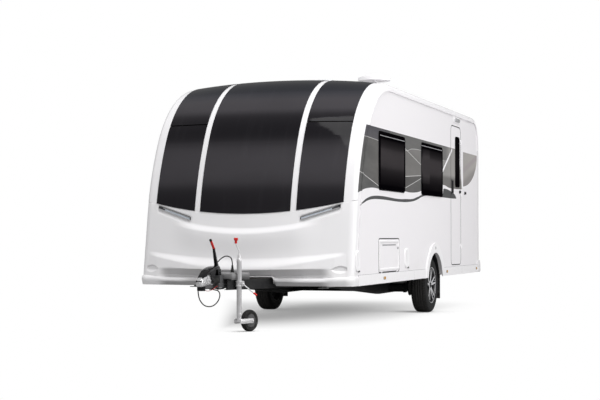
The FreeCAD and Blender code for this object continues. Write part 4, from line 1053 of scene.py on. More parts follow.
@dataclass
class FrontEnd:
    """Lower front moulding with its two creases, lamps and corner recesses, and both bumpers."""

    skin: NoseSkin = NoseSkin()
    foot: float = 0.452
    notch_half: float = 0.338
    notch_z: float = 0.506
    knee: float = 0.62
    pane_foot: float = 1.132
    pane_arc: float = 4.5007
    flat_reach: float = 1.058
    corner: float = 0.066
    wall_x: float = 1.128
    smile_step: float = 0.034
    belt_step: float = 0.046
    scoop: float = 0.078
    lamp: Quad = (0.588, 0.972, 1.08, 1.2)
    pod: Quad = (1.006, 0.588, 0.088, 0.04)
    sheet: float = 0.004
    smile: Triple = (0.968, 0.07, 0.67)
    smile_half: float = 0.034
    belt: Triple = (0.7, 0.05, 0.9)
    belt_share: Table = ((0.0, 1.0), (0.64, 1.0), (0.95, 0.42), (1.055, 0.0))
    belt_high: Table = ((0.0, 0.12), (0.45, 0.1), (0.64, 0.078), (0.9, 0.056), (1.06, 0.045))
    scoop_top: Table = ((0.0, 0.578), (0.25, 0.584), (0.5, 0.592), (0.72, 0.599), (1.0, 0.6))
    scoop_deep: Table = ((0.0, 1.0), (0.55, 0.94), (0.7, 0.68), (0.8, 0.62))
    bumper_foot: float = 0.4255
    bumper_top: float = 0.53
    bumper_level: float = 0.48
    rear_end: Quad = (1.1385, 3.525, 3.7485, 0.058)
    corner_section: Table = (
        (0.4255, 0.004), (0.4262, 0.01), (0.44, 0.018), (0.462, 0.028), (0.476, 0.034), (0.49, 0.0345),
        (0.502, 0.031), (0.512, 0.02), (0.519, 0.004), (0.522, -0.012), (0.5, -0.014), (0.44, -0.006))
    middle_section: Table = (
        (0.4255, -0.024), (0.4265, -0.017), (0.438, -0.004), (0.452, 0.011), (0.464, 0.024), (0.472, 0.0285),
        (0.484, 0.028), (0.496, 0.024), (0.505, 0.012), (0.508, -0.02), (0.505, -0.036), (0.44, -0.036))
    rear_section: Table = (
        (0.4255, -0.012), (0.43, -0.004), (0.445, 0.0), (0.52, 0.0), (0.545, -0.002), (0.575, -0.005),
        (0.587, -0.008), (0.5895, -0.012), (0.58, -0.02), (0.44, -0.02))

    def top(self, x: np.ndarray) -> np.ndarray:
        """The panel's upper edge: an arc parallel to the panes' foot."""
        return self.pane_foot + self.pane_arc - np.sqrt(self.pane_arc ** 2 - x ** 2)

    def bowl(self, s: np.ndarray, curve: Triple) -> np.ndarray:
        """A curve of (height in the middle, rise, reach): it rises with s squared, by the rise at the reach."""
        middle, rise, reach = curve
        return middle + rise * (s / reach) ** 2

    def relief(self, s: np.ndarray, z: np.ndarray) -> np.ndarray:
        """How far the moulding stands out from the plain skin at |x| = s and height z.

        Args:
            s: distance from the middle plane.
            z: height.
        Returns:
            Metres outwards: the sum of the smile step, the belt with the scoop cut in below it, the shelf under
            the lamp and the two lens-shaped recesses.
        """
        smile, half = self.bowl(s, self.smile), self.smile_half
        smile_share = 1.0 - ease((s - 0.5) / 0.32)
        out = self.smile_step * smile_share * (1.0 - ease((z - smile + half) / (2 * half)))
        belt_top = self.bowl(s, self.belt)
        fade = ease((z - belt_top) / np.maximum(smile - half - belt_top, 0.05))
        out = out - (out - 0.01 * smile_share) * (1.0 - fade)
        out = out + self.belt_step * read_off(s, self.belt_share) * ease((belt_top - z) / read_off(s, self.belt_high))
        scoop_share = 1.0 - ease((s - 0.79) / 0.15)
        depth = self.scoop * read_off(s, self.scoop_deep)
        out = out - depth * scoop_share * np.clip((read_off(s, self.scoop_top) - z) / 0.066, 0.0, 1.0)
        x0, x1, z0, z1 = self.lamp
        above = z - (z0 + (s - x0) * (z1 - z0) / (x1 - x0))
        span = ease((s - x0 + 0.035) / 0.06) * (1.0 - ease((s - x1 + 0.02) / 0.045))
        out = out - 0.013 * span * ease((above + 0.058) / 0.046) * (1.0 - ease((above - 0.026) / 0.02))
        px, pz, pw, ph = self.pod
        lens = 1.0 - np.abs(z - pz) / (ph * np.maximum(1.0 - ((s - px) / pw) ** 2, 1e-3))
        inside = np.where(np.abs(s - px) < pw, np.clip(lens, 0.0, 1.0), 0.0)
        drop = ease(np.where(z > pz, inside * 3.2, inside * 1.3))
        return out - 0.017 * drop

    def half_plan(self) -> tuple[np.ndarray, np.ndarray]:
        """Samples from the middle to the wall: x on the front, then a share round the corner and along the side."""
        x = np.concatenate((np.linspace(0.0, 0.9, 76, endpoint=False), np.linspace(0.9, self.flat_reach, 40)))
        return x, np.linspace(0.0, 1.0, 13)[1:]

    def panel(self) -> None:
        """The moulding: the nose's skin plus the relief, carried round the corners to the walls."""
        x, round_share = self.half_plan()
        rows = np.concatenate((np.linspace(0.0, 0.3, 62, endpoint=False), np.linspace(0.3, 1.0, 92)))
        front_x = np.broadcast_to(x[:, None], (len(x), len(rows)))
        low = self.foot + (self.notch_z - self.foot) * (1.0 - ease((x - self.notch_half) / 0.004))
        plain = self.foot + (self.top(x) - self.foot)[:, None] * rows[None, :]
        squeeze = ((self.knee - low) / (self.knee - self.foot))[:, None]
        z = np.where(plain > self.knee, plain, self.knee - (self.knee - plain) * squeeze)
        y = self.skin.depth(front_x, z) - self.relief(front_x, z)
        front = xyz(front_x, y, z)
        side_top = self.top(np.asarray(self.wall_x))
        high = self.top(np.asarray(self.flat_reach)) + round_share * (side_top - self.top(np.asarray(self.flat_reach)))
        corner_z = self.foot + (high - self.foot)[:, None] * rows[None, :]
        first_y = self.skin.depth(np.full_like(corner_z, self.flat_reach), corner_z)
        edge_y = self.skin.depth(np.full_like(corner_z, self.wall_x), corner_z)
        share = round_share[:, None]
        corner = xyz(bezier(self.flat_reach, self.wall_x, self.wall_x, share),
                     bezier(first_y, edge_y, edge_y + self.corner, share), corner_z)
        side_z = self.foot + (side_top - self.foot) * rows
        start_y = self.skin.depth(np.full_like(side_z, self.wall_x), side_z) + self.corner
        end_y = self.skin.wall_edge(side_z)
        steps = np.linspace(0.0, 1.0, 7)[1:, None]
        side = xyz(self.wall_x, start_y + steps * (end_y - start_y), side_z)
        half = np.concatenate((front, corner, side))
        other = half[:0:-1] * (-1.0, 1.0, 1.0)
        Form().grid(np.concatenate((other, half))).piece(
            "lower_front_moulding", NOSE_WHITE_PAINTED_SHADE, "white_shell", 28.0,
            nodes=["front_lower_panel", "corner_pods"], sheet=self.sheet, closed=False)

    def bumper_path(self, low: float) -> tuple[np.ndarray, np.ndarray]:
        """Plan of the front bumper at a height and the directions out of it, from offside to nearside.

        Args:
            low: the height.
        Returns:
            The path's (x, y) points, and the ways out.
        """
        x = np.linspace(0.0, self.flat_reach, 60)
        y = self.skin.depth(x, np.full_like(x, low))
        share = np.linspace(0.0, 1.0, 14)[1:]
        edge = float(self.skin.depth(np.asarray(self.wall_x), np.asarray(low)))
        corner = np.stack((bezier(self.flat_reach, self.wall_x, self.wall_x, share),
                           bezier(float(y[-1]), edge, edge + self.corner, share)), axis=1)
        side = np.stack((np.full(6, self.wall_x), np.linspace(edge + self.corner, -2.386, 7)[1:]), axis=1)
        half = np.concatenate((np.stack((x, y), axis=1), corner, side))
        path = np.concatenate((half[:0:-1] * (-1.0, 1.0), half))
        tangent = unit(np.gradient(path, axis=0))
        return path, np.stack((tangent[:, 1], -tangent[:, 0]), axis=1)

    def bumpers(self) -> None:
        """Front and rear bumpers: a rounded section carried round each end of the body."""
        path, out = self.bumper_path(self.bumper_level)
        foot, top = self.bumper_foot, self.bumper_top
        corner, middle = np.asarray(self.corner_section), np.asarray(self.middle_section)
        s = np.abs(path[:, 0])
        low = foot + (self.notch_z - foot) * (1.0 - ease((s - self.notch_half) / 0.03))
        full = ease((s - 0.82) / 0.13)[:, None]
        section = middle[None] + (corner - middle)[None] * full[..., None]
        height = low[:, None] + (section[..., 0] - foot) * ((top - low) / (top - foot))[:, None]
        sideways = np.clip(np.abs(out[:, :1]), 0.0, 1.0)
        reach = section[..., 1] * (1.0 - sideways) + np.clip(section[..., 1], -0.02, 0.0335) * 0.33 * sideways
        lean = (height - self.bumper_level) * math.tan(self.skin.low) * (1.0 - sideways)
        rings = xyz(path[:, :1] + out[:, :1] * reach, path[:, 1:] + out[:, 1:] * reach + lean, height)
        form = Form().loft(rings)
        half_x, front_y, rear_y, r = self.rear_end
        turn = np.linspace(0.0, math.pi / 2, 12)
        bend = np.stack((half_x - r + r * np.cos(turn), rear_y - r + r * np.sin(turn)), axis=1)
        half = np.concatenate((np.asarray([(half_x, front_y), (half_x, front_y + 0.04), (half_x, rear_y - r - 0.02)]),
                               bend, np.stack((np.linspace(half_x - r, 0.0, 16)[1:], np.full(15, rear_y)), axis=1)))
        rear = np.concatenate((half, half[-2::-1] * (-1.0, 1.0)))
        tangent = unit(np.gradient(rear, axis=0))
        outward = np.stack((tangent[:, 1], -tangent[:, 0]), axis=1)
        shape = np.asarray(self.rear_section)
        rings = xyz(rear[:, :1] + outward[:, :1] * shape[:, 1], rear[:, 1:] + outward[:, 1:] * shape[:, 1], shape[:, 0])
        form.loft(rings).piece("bumper_mouldings", NOSE_WHITE_PAINTED_SHADE, "white_shell", 50.0, nodes=["bumpers"])

    def lamp_strip(self, low: float, high: float, section: Sequence[Pair], start: float,
                   end: float) -> np.ndarray:
        """Sections carried along the slanted lamp.

        Args:
            low, high: the strip's edges above the lamp's lower line.
            section: (share of the strip's height, metres outwards).
            start, end: where it runs, as shares of the lamp's length.
        Returns:
            The sections.
        """
        x0, x1, z0, z1 = self.lamp
        s = x0 + (x1 - x0) * np.linspace(start, end, 40)
        base = z0 + (s - x0) * (z1 - z0) / (x1 - x0)
        shape = np.asarray(section)
        z = base[:, None] + low + (high - low) * shape[None, :, 0]
        x = s[:, None]
        return xyz(x, self.skin.depth(x, z) - shape[:, 1], z)

    def lamps(self) -> None:
        """Each lamp: a dark tray, a clear lens, two bright lines and a dark inner lamp at the outer end."""
        tray = self.lamp_strip(-0.004, 0.031, ((0, -0.014), (0, -0.002), (1, -0.004), (1, -0.014)), -0.01, 1.01)
        Form().loft(tray).mirrored().piece("lamp_trays", BLACK_TRIM, "black_trim")
        arc = np.linspace(0.0, math.pi, 9)
        glass = [(0.5 - 0.5 * math.cos(a), 0.0045 * math.sin(a) ** 0.5) for a in arc.tolist()] + [(0.5, -0.004)]
        lens = self.lamp_strip(0.003, 0.019, glass, 0.02, 0.8)
        Form().loft(lens).mirrored().piece("lamp_lenses", CLEAR_LENS, "clear_lens", nodes=["front_lamps"])
        line = ((0, 0.0005), (0.15, 0.0065), (0.5, 0.0078), (0.85, 0.0065), (1, 0.0005), (0.5, -0.004))
        lower = self.lamp_strip(-0.004, 0.0045, line, -0.01, 0.99)
        upper = self.lamp_strip(0.021, 0.027, line, 0.0, 0.86)
        Form().loft(lower).loft(upper).mirrored().piece("lamp_bright_lines", CHROME, "bright_steel")
        ends = self.lamp_strip(0.004, 0.029, glass, 0.8, 0.985)
        Form().loft(ends).mirrored().piece("lamp_outer_ends", LAMP_END, "black_trim")

    def build(self) -> None:
        """Builds the whole front end."""
        self.panel()
        self.bumpers()
        self.lamps()


# ---------------- coupling
@dataclass
class Coupling:
    """Coupling head, its long curved handle, bellows, handbrake lever and the lid over the drawbar."""

    shaft_z: float = 0.49
    head_end: float = -3.467
    housing_y: float = -3.33
    arc: Triple = (-3.363, 0.009, 0.625)
    handle_half: float = 0.046
    handle_ends: Pair = (-3.748, -3.33)
    squareness: float = 0.55
    pivot: Pair = (-3.292, 0.542)
    cover_low: float = 0.5
    cover_plan: Quad = (-3.24, -2.92, 0.135, 0.195)
    tube: Triple = (0.17, -3.15, 0.027)
    sheet: float = 0.003
    tray: Quad = (-0.052, 0.052, -3.355, -3.115)
    keel: Quad = (-0.026, 0.026, -3.65, -3.46)
    sections: tuple[Quad, ...] = (
        (-3.745, 0.014, 0.462, 0.5), (-3.739, 0.026, 0.452, 0.512), (-3.722, 0.035, 0.447, 0.524),
        (-3.7, 0.0385, 0.446, 0.535), (-3.672, 0.039, 0.446, 0.546), (-3.645, 0.0385, 0.448, 0.554),
        (-3.62, 0.037, 0.451, 0.56), (-3.585, 0.035, 0.455, 0.563), (-3.54, 0.034, 0.458, 0.56),
        (-3.5, 0.034, 0.457, 0.55), (-3.467, 0.036, 0.456, 0.534))

    channel: Table = (
        (-1.0, -0.026), (-1.0, -0.008), (-0.95, -0.003), (-0.8, -0.0004), (0.0, 0.0), (0.8, -0.0004),
        (0.95, -0.003), (1.0, -0.008), (1.0, -0.026), (0.9, -0.026), (0.9, -0.011), (0.78, -0.007),
        (0.0, -0.0065), (-0.78, -0.007), (-0.9, -0.011), (-0.9, -0.026))
    cheek: Table = (
        (-3.52, 0.474), (-3.486, 0.47), (-3.468, 0.5), (-3.44, 0.56), (-3.425, 0.612), (-3.56, 0.59),
        (-3.556, 0.56), (-3.53, 0.52))

    def head(self) -> None:
        """The casting: sections |cos|^0.55 by |sin|^0.55, rounded squares, along Y, with pads, bolts and a socket."""
        shape = spline_through(self.sections, 60)
        angle = np.linspace(0, TWO_PI, 40, endpoint=False)
        across, up = (np.sign(wave) * np.abs(wave) ** self.squareness for wave in (np.cos(angle), np.sin(angle)))
        middle, high = (shape[:, 2] + shape[:, 3]) / 2, (shape[:, 3] - shape[:, 2]) / 2
        waist = 1.0 - 0.16 * np.exp(-(((shape[:, 0] + 3.6) / 0.022) ** 2))
        rings = xyz(shape[:, 1:2] * waist[:, None] * across, shape[:, :1], middle[:, None] + high[:, None] * up)
        form = Form().loft(rings)
        cup = ((0.0, 0.03), (0.0, 0.036), (0.006, 0.0378), (0.014, 0.0385), (0.044, 0.0385), (0.046, 0.03))
        Form().turned((0.0, -3.682, 0.4105), UP, cup, 40).piece(
            "coupling_cup", GLOSS_BLACK, "black_steel", 40.0)
        for y, z, r in ((-3.672, 0.488, 0.024), (-3.56, 0.505, 0.012)):
            pad = ((0.0, r), (0.009, r), (0.0115, r * 0.9), (0.0115, r * 0.55), (0.008, r * 0.5))
            form.turned((0.03, y, z), (1, 0, 0), pad, 32)
        form.bolt((0.0395, -3.672, 0.488), (1, 0, 0), 0.0085)
        form.bolt((0.0345, -3.5, 0.5), (1, 0, 0), 0.008)
        form.mirrored()
        ribs = xyz(0.0, np.linspace(-3.7, -3.5, 24), np.linspace(0.528, 0.549, 24))
        form.tube(ribs, 0.006, 8)
        form.piece("coupling_casting", BRIGHT_CAST, "bright_steel", 40.0, nodes=["coupling_head"])

    def handle(self) -> None:
        """The handle: a shallow channel carried along an arc, narrower at its front, with two side plates."""
        cy, cz, r = self.arc
        turn = np.arccos((np.linspace(*self.handle_ends, 56) - cy) / r)
        section = np.asarray(self.channel)
        share = np.linspace(0.0, 1.0, 56)
        width = self.handle_half * (0.62 + 0.38 * ease(share / 0.5))
        away = r + section[None, :, 1] * (0.75 + 0.5 * share[:, None])
        turn = turn[:, None]
        rings = xyz(width[:, None] * section[:, 0], cy + away * np.cos(turn), cz + away * np.sin(turn))
        form = Form().loft(rings)
        outline = np.asarray(self.cheek)
        plate = Plane((0.038, 0.0, 0.0), *Facing.NEARSIDE.value)
        sides = Form().plate(plate, outline, ((0.002, 0.0), (0.0, 0.001), (0.0, 0.005), (0.002, 0.007)))
        sides.bolt((0.045, -3.505, 0.497), (1, 0, 0), 0.009)
        sides.mirrored()
        form.joined(sides).piece("coupling_handle_arc", GLOSS_BLACK, "black_steel", 40.0,
                                 nodes=["coupling_handle"])

    def bellows(self) -> None:
        """The bellows: radius 37 mm plus or minus 5 mm in seven even waves along the shaft."""
        share = np.linspace(0.0, 1.0, 71)
        radius = 0.0365 + 0.005 * np.cos((share - 0.5 / 7.0) * TWO_PI * 7.0) - 0.01 * (1.0 - ease(share / 0.05))
        along = share * (self.housing_y - self.head_end)
        Form().turned((0.0, self.head_end, self.shaft_z), (0, 1, 0), np.stack((along, radius), 1), 40).piece(
            "overrun_gaiter", SOFT_RUBBER, "soft_rubber", 60.0, nodes=["overrun_bellows"])

    def lever(self) -> None:
        """Handbrake lever: a tapering flat bar on a toothed quadrant, with a red grip between black ends."""
        path = spline_through(((0, -3.27, 0.546), (0, -3.302, 0.625), (0, -3.345, 0.72), (0, -3.378, 0.8)), 24)
        share = np.linspace(0.0, 1.0, 24)[:, None]
        ring = rounded_ring(1.0, 1.0, 0.35, 4)
        deep = 0.021 - 0.01 * share
        wide = 0.01 + 0.013 * (1.0 - share) ** 1.4
        rings = xyz(path[:, :1] + wide * ring[:, 0], path[:, 1:2] + deep * ring[:, 1],
                    path[:, 2:] + 0.35 * deep * ring[:, 1])
        form = Form().loft(rings)
        turn = np.linspace(0.25, 1.45, 17)
        radius = 0.066 + 0.0035 * (np.arange(17) % 2)
        arc = np.stack((np.cos(turn + 0.9), np.sin(turn + 0.9)), axis=1) * radius[:, None] + self.pivot
        outline = np.vstack((((-3.255, 0.546),), arc, ((-3.326, 0.546),)))
        quadrant = Plane((0.024, 0.0, 0.0), *Facing.NEARSIDE.value)
        cheeks = Form().plate(quadrant, outline, ((0.001, 0.0), (0.0, 0.0008), (0.0, 0.0042), (0.001, 0.005)))
        cheeks.bolt((0.029, -3.29, 0.572), (1, 0, 0), 0.007)
        form.joined(cheeks.mirrored())
        start, way = np.asarray((0.0, -3.366, 0.792)), unit(np.asarray((0.0, -0.098, 0.094)))
        form.turned(start, way, ((0.0, 0.008), (0.002, 0.0125), (0.014, 0.013), (0.016, 0.01)), 24)
        knob = ((0.0, 0.01), (0.002, 0.0132), (0.012, 0.0132), (0.017, 0.01), (0.018, 0.004))
        form.turned(start + 0.116 * way, way, knob, 24)
        form.piece("handbrake_bar", GLOSS_BLACK, "black_steel", nodes=["handbrake_lever"])
        along = np.linspace(0.0, 0.1, 41)
        waves = 0.0124 - 0.0006 * np.abs(np.sin(along / 0.1 * math.pi * 5))
        Form().turned(start + 0.016 * way, way, np.stack((along, waves), 1), 24).piece(
            "handbrake_grip", RED_PLASTIC, "red_cable")

    def linkage(self) -> None:
        """What hangs under the overrun shaft: a tray, the brake rod, its hangers and a keel under the head."""
        form = Form().plate(*panel_on(Facing.TOP, 0.428, self.tray, 0.012, 4), slab(0.044, 0.004))
        rod = spline_through(((-0.03, -3.33, 0.44), (-0.03, -3.24, 0.418), (-0.03, -3.1, 0.412),
                              (-0.03, -2.9, 0.43)), 24)
        form.tube(rod, 0.007, 12)
        for x, y in ((-0.03, -3.19), (0.028, -3.12), (-0.03, -3.06)):
            hanger = (y - 0.012, y + 0.012, 0.404, 0.444)
            form.plate(*panel_on(Facing.NEARSIDE, x - 0.003, hanger, 0.004, 3), slab(0.006))
            form.bolt((x + 0.003, y, 0.414), (1, 0, 0), 0.006)
        form.plate(*panel_on(Facing.TOP, 0.424, self.keel, 0.01, 4),
                   ((0.006, 0.0), (0.0, 0.006), (0.0, 0.034), (0.004, 0.04)))
        form.piece("overrun_linkage", HUB_GREY, "black_steel")

    def cover(self) -> None:
        """The lid: a tapering plan with rounded edges and a bay for the jockey tube, made a sheet."""
        y0, y1, w0, w1 = self.cover_plan
        tx, ty, tr = self.tube
        slope = (w1 - w0) / (y1 - y0)
        turn = 0.3 + np.linspace(0.0, 1.0, 13) * (math.pi - 0.6)
        first, last = ty - 0.0262, ty + 0.0262
        bay = np.stack((tx - tr * np.sin(turn), ty - tr * np.cos(turn)), 1)
        near = np.asarray([(w0 - 0.014, y0), (w0 - 0.004, y0 + 0.004), (w0 + 0.001, y0 + 0.014),
                           (w0 + slope * (first - y0), first)])
        far = np.asarray([(w0 + slope * (last - y0), last), (w1, y1 - 0.016), (w1 - 0.005, y1 - 0.005),
                          (w1 - 0.016, y1)])
        right = np.vstack((near, bay, far))
        left = np.asarray([(-w1 + 0.016, y1), (-w1 + 0.005, y1 - 0.005), (-w1, y1 - 0.016), (-w0 - 0.001, y0 + 0.014),
                           (-w0 + 0.004, y0 + 0.004), (-w0 + 0.014, y0)])
        ring = np.vstack((right, left))
        level = Plane((0, 0, 0), *Facing.TOP.value)
        layers = ((0.0, self.cover_low), (0.0, 0.5525), (0.0012, 0.5575), (0.004, 0.5615), (0.0085, 0.564),
                  (0.014, 0.5648))
        rings = np.stack([level.at(inset_ring(ring, inset), height) for inset, height in layers])
        Form().grid(rings, round_v=True).cap(rings[-1]).piece(
            "drawbar_lid", COVER_GREY, "grey_trim", 40.0, nodes=["drawbar_cover"], sheet=self.sheet)

    def build(self) -> None:
        """Builds the coupling and what stands on the drawbar."""
        self.head()
        self.handle()
        self.bellows()
        self.lever()
        self.linkage()
        self.cover()


# ---------------- jockey wheel
@dataclass
class Jockey:
    """Jockey wheel: tube with crank, clamp with its lever, castor fork and ribbed wheel."""

    x: float = 0.17
    y: float = -3.15
    low: float = 0.15
    top: float = 0.705
    radius: float = 0.024
    turn: float = math.radians(20.0)
    trail: float = 0.15
    wheel_radius: float = 0.105
    half_width: float = 0.03
    clamp_low: float = 0.436
    clamp_radius: float = 0.0345
    hub_section: Table = (
        (0.0, 0.0695), (0.0, 0.06), (0.013, 0.056), (0.018, 0.028), (-0.002, 0.024), (-0.003, 0.012),
        (0.051, 0.012), (0.05, 0.024), (0.03, 0.028), (0.035, 0.056), (0.048, 0.06), (0.048, 0.0695))

    @property
    def along(self) -> np.ndarray:
        """The way the castor trails."""
        return np.asarray((math.sin(self.turn), math.cos(self.turn), 0.0))

    @property
    def axle(self) -> np.ndarray:
        """The wheel's axle."""
        return np.asarray((math.cos(self.turn), -math.sin(self.turn), 0.0))

    def tube(self) -> None:
        """The outer tube with a pressed collar and a domed cap, its stem and the bent crank arm."""
        r, high = self.radius, self.top - self.low
        profile = ((0.0, r * 0.96), (0.002, r), (0.03, r), (0.033, r * 0.97), (0.039, r * 0.97), (0.042, r),
                   (high - 0.045, r), (high - 0.041, r * 1.08), (high - 0.012, r * 1.08), (high - 0.006, r * 0.98),
                   (high, 0.0175), (high + 0.004, 0.0165), (high + 0.03, 0.015), (high + 0.035, 0.0085),
                   (high + 0.044, 0.008), (high + 0.046, 0.0065), (high + 0.062, 0.0065))
        form = Form().turned((self.x, self.y, self.low), UP, profile, 48)
        crank = spline_through(((self.x, self.y, self.top + 0.05), (self.x, self.y, self.top + 0.066),
                                (self.x - 0.012, self.y, self.top + 0.093), (self.x - 0.03, self.y, self.top + 0.132),
                                (self.x - 0.034, self.y, self.top + 0.15)), 30)
        form.tube(crank, 0.0058, 14).piece("jockey_stem", ZINC, "bright_steel", nodes=["jockey_outer_tube"])
        knob = ((0.0, 0.006), (0.002, 0.0115), (0.012, 0.0125), (0.028, 0.012), (0.031, 0.0185), (0.035, 0.0205),
                (0.052, 0.021), (0.056, 0.018), (0.057, 0.008))
        Form().turned((self.x - 0.034, self.y, self.top + 0.14), UP, knob, 10).piece(
            "jockey_crank_knob", RED_PLASTIC, "red_cable", 25.0)

    def clamp(self) -> None:
        """The clamp: a lipped band round the tube, a block on the rail and the screw lever with its red tip."""
        r = self.clamp_radius
        band = ((0.0, 0.0262), (0.001, r), (0.01, r), (0.013, 0.031), (0.041, 0.031), (0.044, r), (0.053, r),
                (0.054, 0.0262))
        form = Form().turned((self.x, self.y, self.clamp_low), UP, band, 40)
        block = (self.y - 0.02, self.y + 0.02, 0.438, 0.488)
        form.plate(*panel_on(Facing.NEARSIDE, self.x + 0.022, block, 0.006, 4),
                   ((0.001, 0.0), (0.0, 0.001), (0.0, 0.022), (0.002, 0.024)))
        form.bolt((self.x + 0.033, self.y - 0.018, 0.463), (0, -1, 0), 0.009)
        path = spline_through(((self.x + 0.04, self.y, 0.462), (self.x + 0.056, self.y, 0.447),
                               (self.x + 0.11, self.y, 0.404), (self.x + 0.16, self.y, 0.368)), 24)
        form.tube(path, 0.0058, 14)
        form.turned((self.x + 0.036, self.y, 0.464), (1, 0, -0.7), ((0.0, 0.012), (0.012, 0.0125), (0.018, 0.008)), 16)
        form.piece("jockey_clamp_band", ZINC, "bright_steel", nodes=["jockey_clamp"])
        Form().turned((self.x + 0.146, self.y, 0.3778), (0.144, 0.0, -0.102),
                      ((0.0, 0.0062), (0.001, 0.0088), (0.034, 0.0095), (0.041, 0.008), (0.044, 0.003)), 20).piece(
            "jockey_clamp_tip", RED_PLASTIC, "red_cable")

    def fork(self) -> None:
        """The castor fork: two long plates joined over the wheel's front, with the axle bolt through them."""
        origin = np.asarray((self.x, self.y, 0.0))
        outline = rounded_ring(0.097, 0.023, 0.014, 6) + (0.071, 0.105)
        form = Form()
        for side in (-1.0, 1.0):
            face = origin + self.axle * 0.036 * side
            plane = Plane(face, self.along * side, UP, self.axle * side)
            ring = outline if side > 0 else (outline * (-1.0, 1.0))[::-1]
            form.plate(plane, ring, ((0.0, 0.0), (0.0, 0.005), (0.0015, 0.006)))
            hub = origin + self.along * self.trail + UP_VECTOR * self.wheel_radius + self.axle * 0.042 * side
            form.bolt(hub, self.axle * side, 0.01)
        bridge = Plane(origin + UP_VECTOR * 0.094 + self.along * 0.006, self.axle, self.along, UP)
        form.plate(bridge, rounded_ring(0.036, 0.034, 0.004, 3), slab(0.018))
        form.piece("jockey_castor", ZINC, "bright_steel", 40.0, body="jockey_fork", nodes=["jockey_fork"])

    def wheel(self) -> None:
        """The wheel: a ribbed rubber ring on a dished hub with six webs."""
        middle = np.asarray((self.x, self.y, self.wheel_radius)) + self.along * self.trail
        angle = np.linspace(0, TWO_PI, 72, endpoint=False)
        circle = np.cos(angle)[:, None] * self.along + np.sin(angle)[:, None] * UP_VECTOR
        r, h = self.wheel_radius, self.half_width
        across = np.linspace(-1.0, 1.0, 41)
        crown = r - 0.01 * np.abs(across) ** 3.0 - 0.005 * (0.5 - 0.5 * np.cos(across * math.pi * 4.0)) ** 2
        tread = np.stack((across * (h - 0.002), crown), axis=1)
        profile = np.vstack(((-h + 0.004, 0.068), (-h + 0.001, 0.074), tread, (h - 0.001, 0.074), (h - 0.004, 0.068)))
        rings = middle + profile[:, None, :1] * self.axle + profile[:, None, 1:] * circle
        Form().grid(rings, round_u=True, round_v=True).piece(
            "jockey_tyre", JOCKEY_RUBBER, "jockey_rubber", body="jockey_wheel", nodes=["jockey_wheel"])
        hub = Form().turned(middle - self.axle * 0.024, self.axle, self.hub_section, 48)
        for step in range(6):
            way = math.cos(step * math.pi / 3) * self.along + math.sin(step * math.pi / 3) * UP_VECTOR
            web = Plane(middle + way * 0.041 - self.axle * 0.022, way, np.cross(self.axle, way), self.axle)
            hub.plate(web, rounded_ring(0.021, 0.0035, 0.002, 2), slab(0.044, 0.0008))
        hub.piece("jockey_hub", HUB_GREY, "jockey_rubber", 40.0, body="jockey_wheel")

    def build(self) -> None:
        """Builds the jockey wheel from its crank down."""
        self.tube()
        self.clamp()
        self.fork()
        self.wheel()


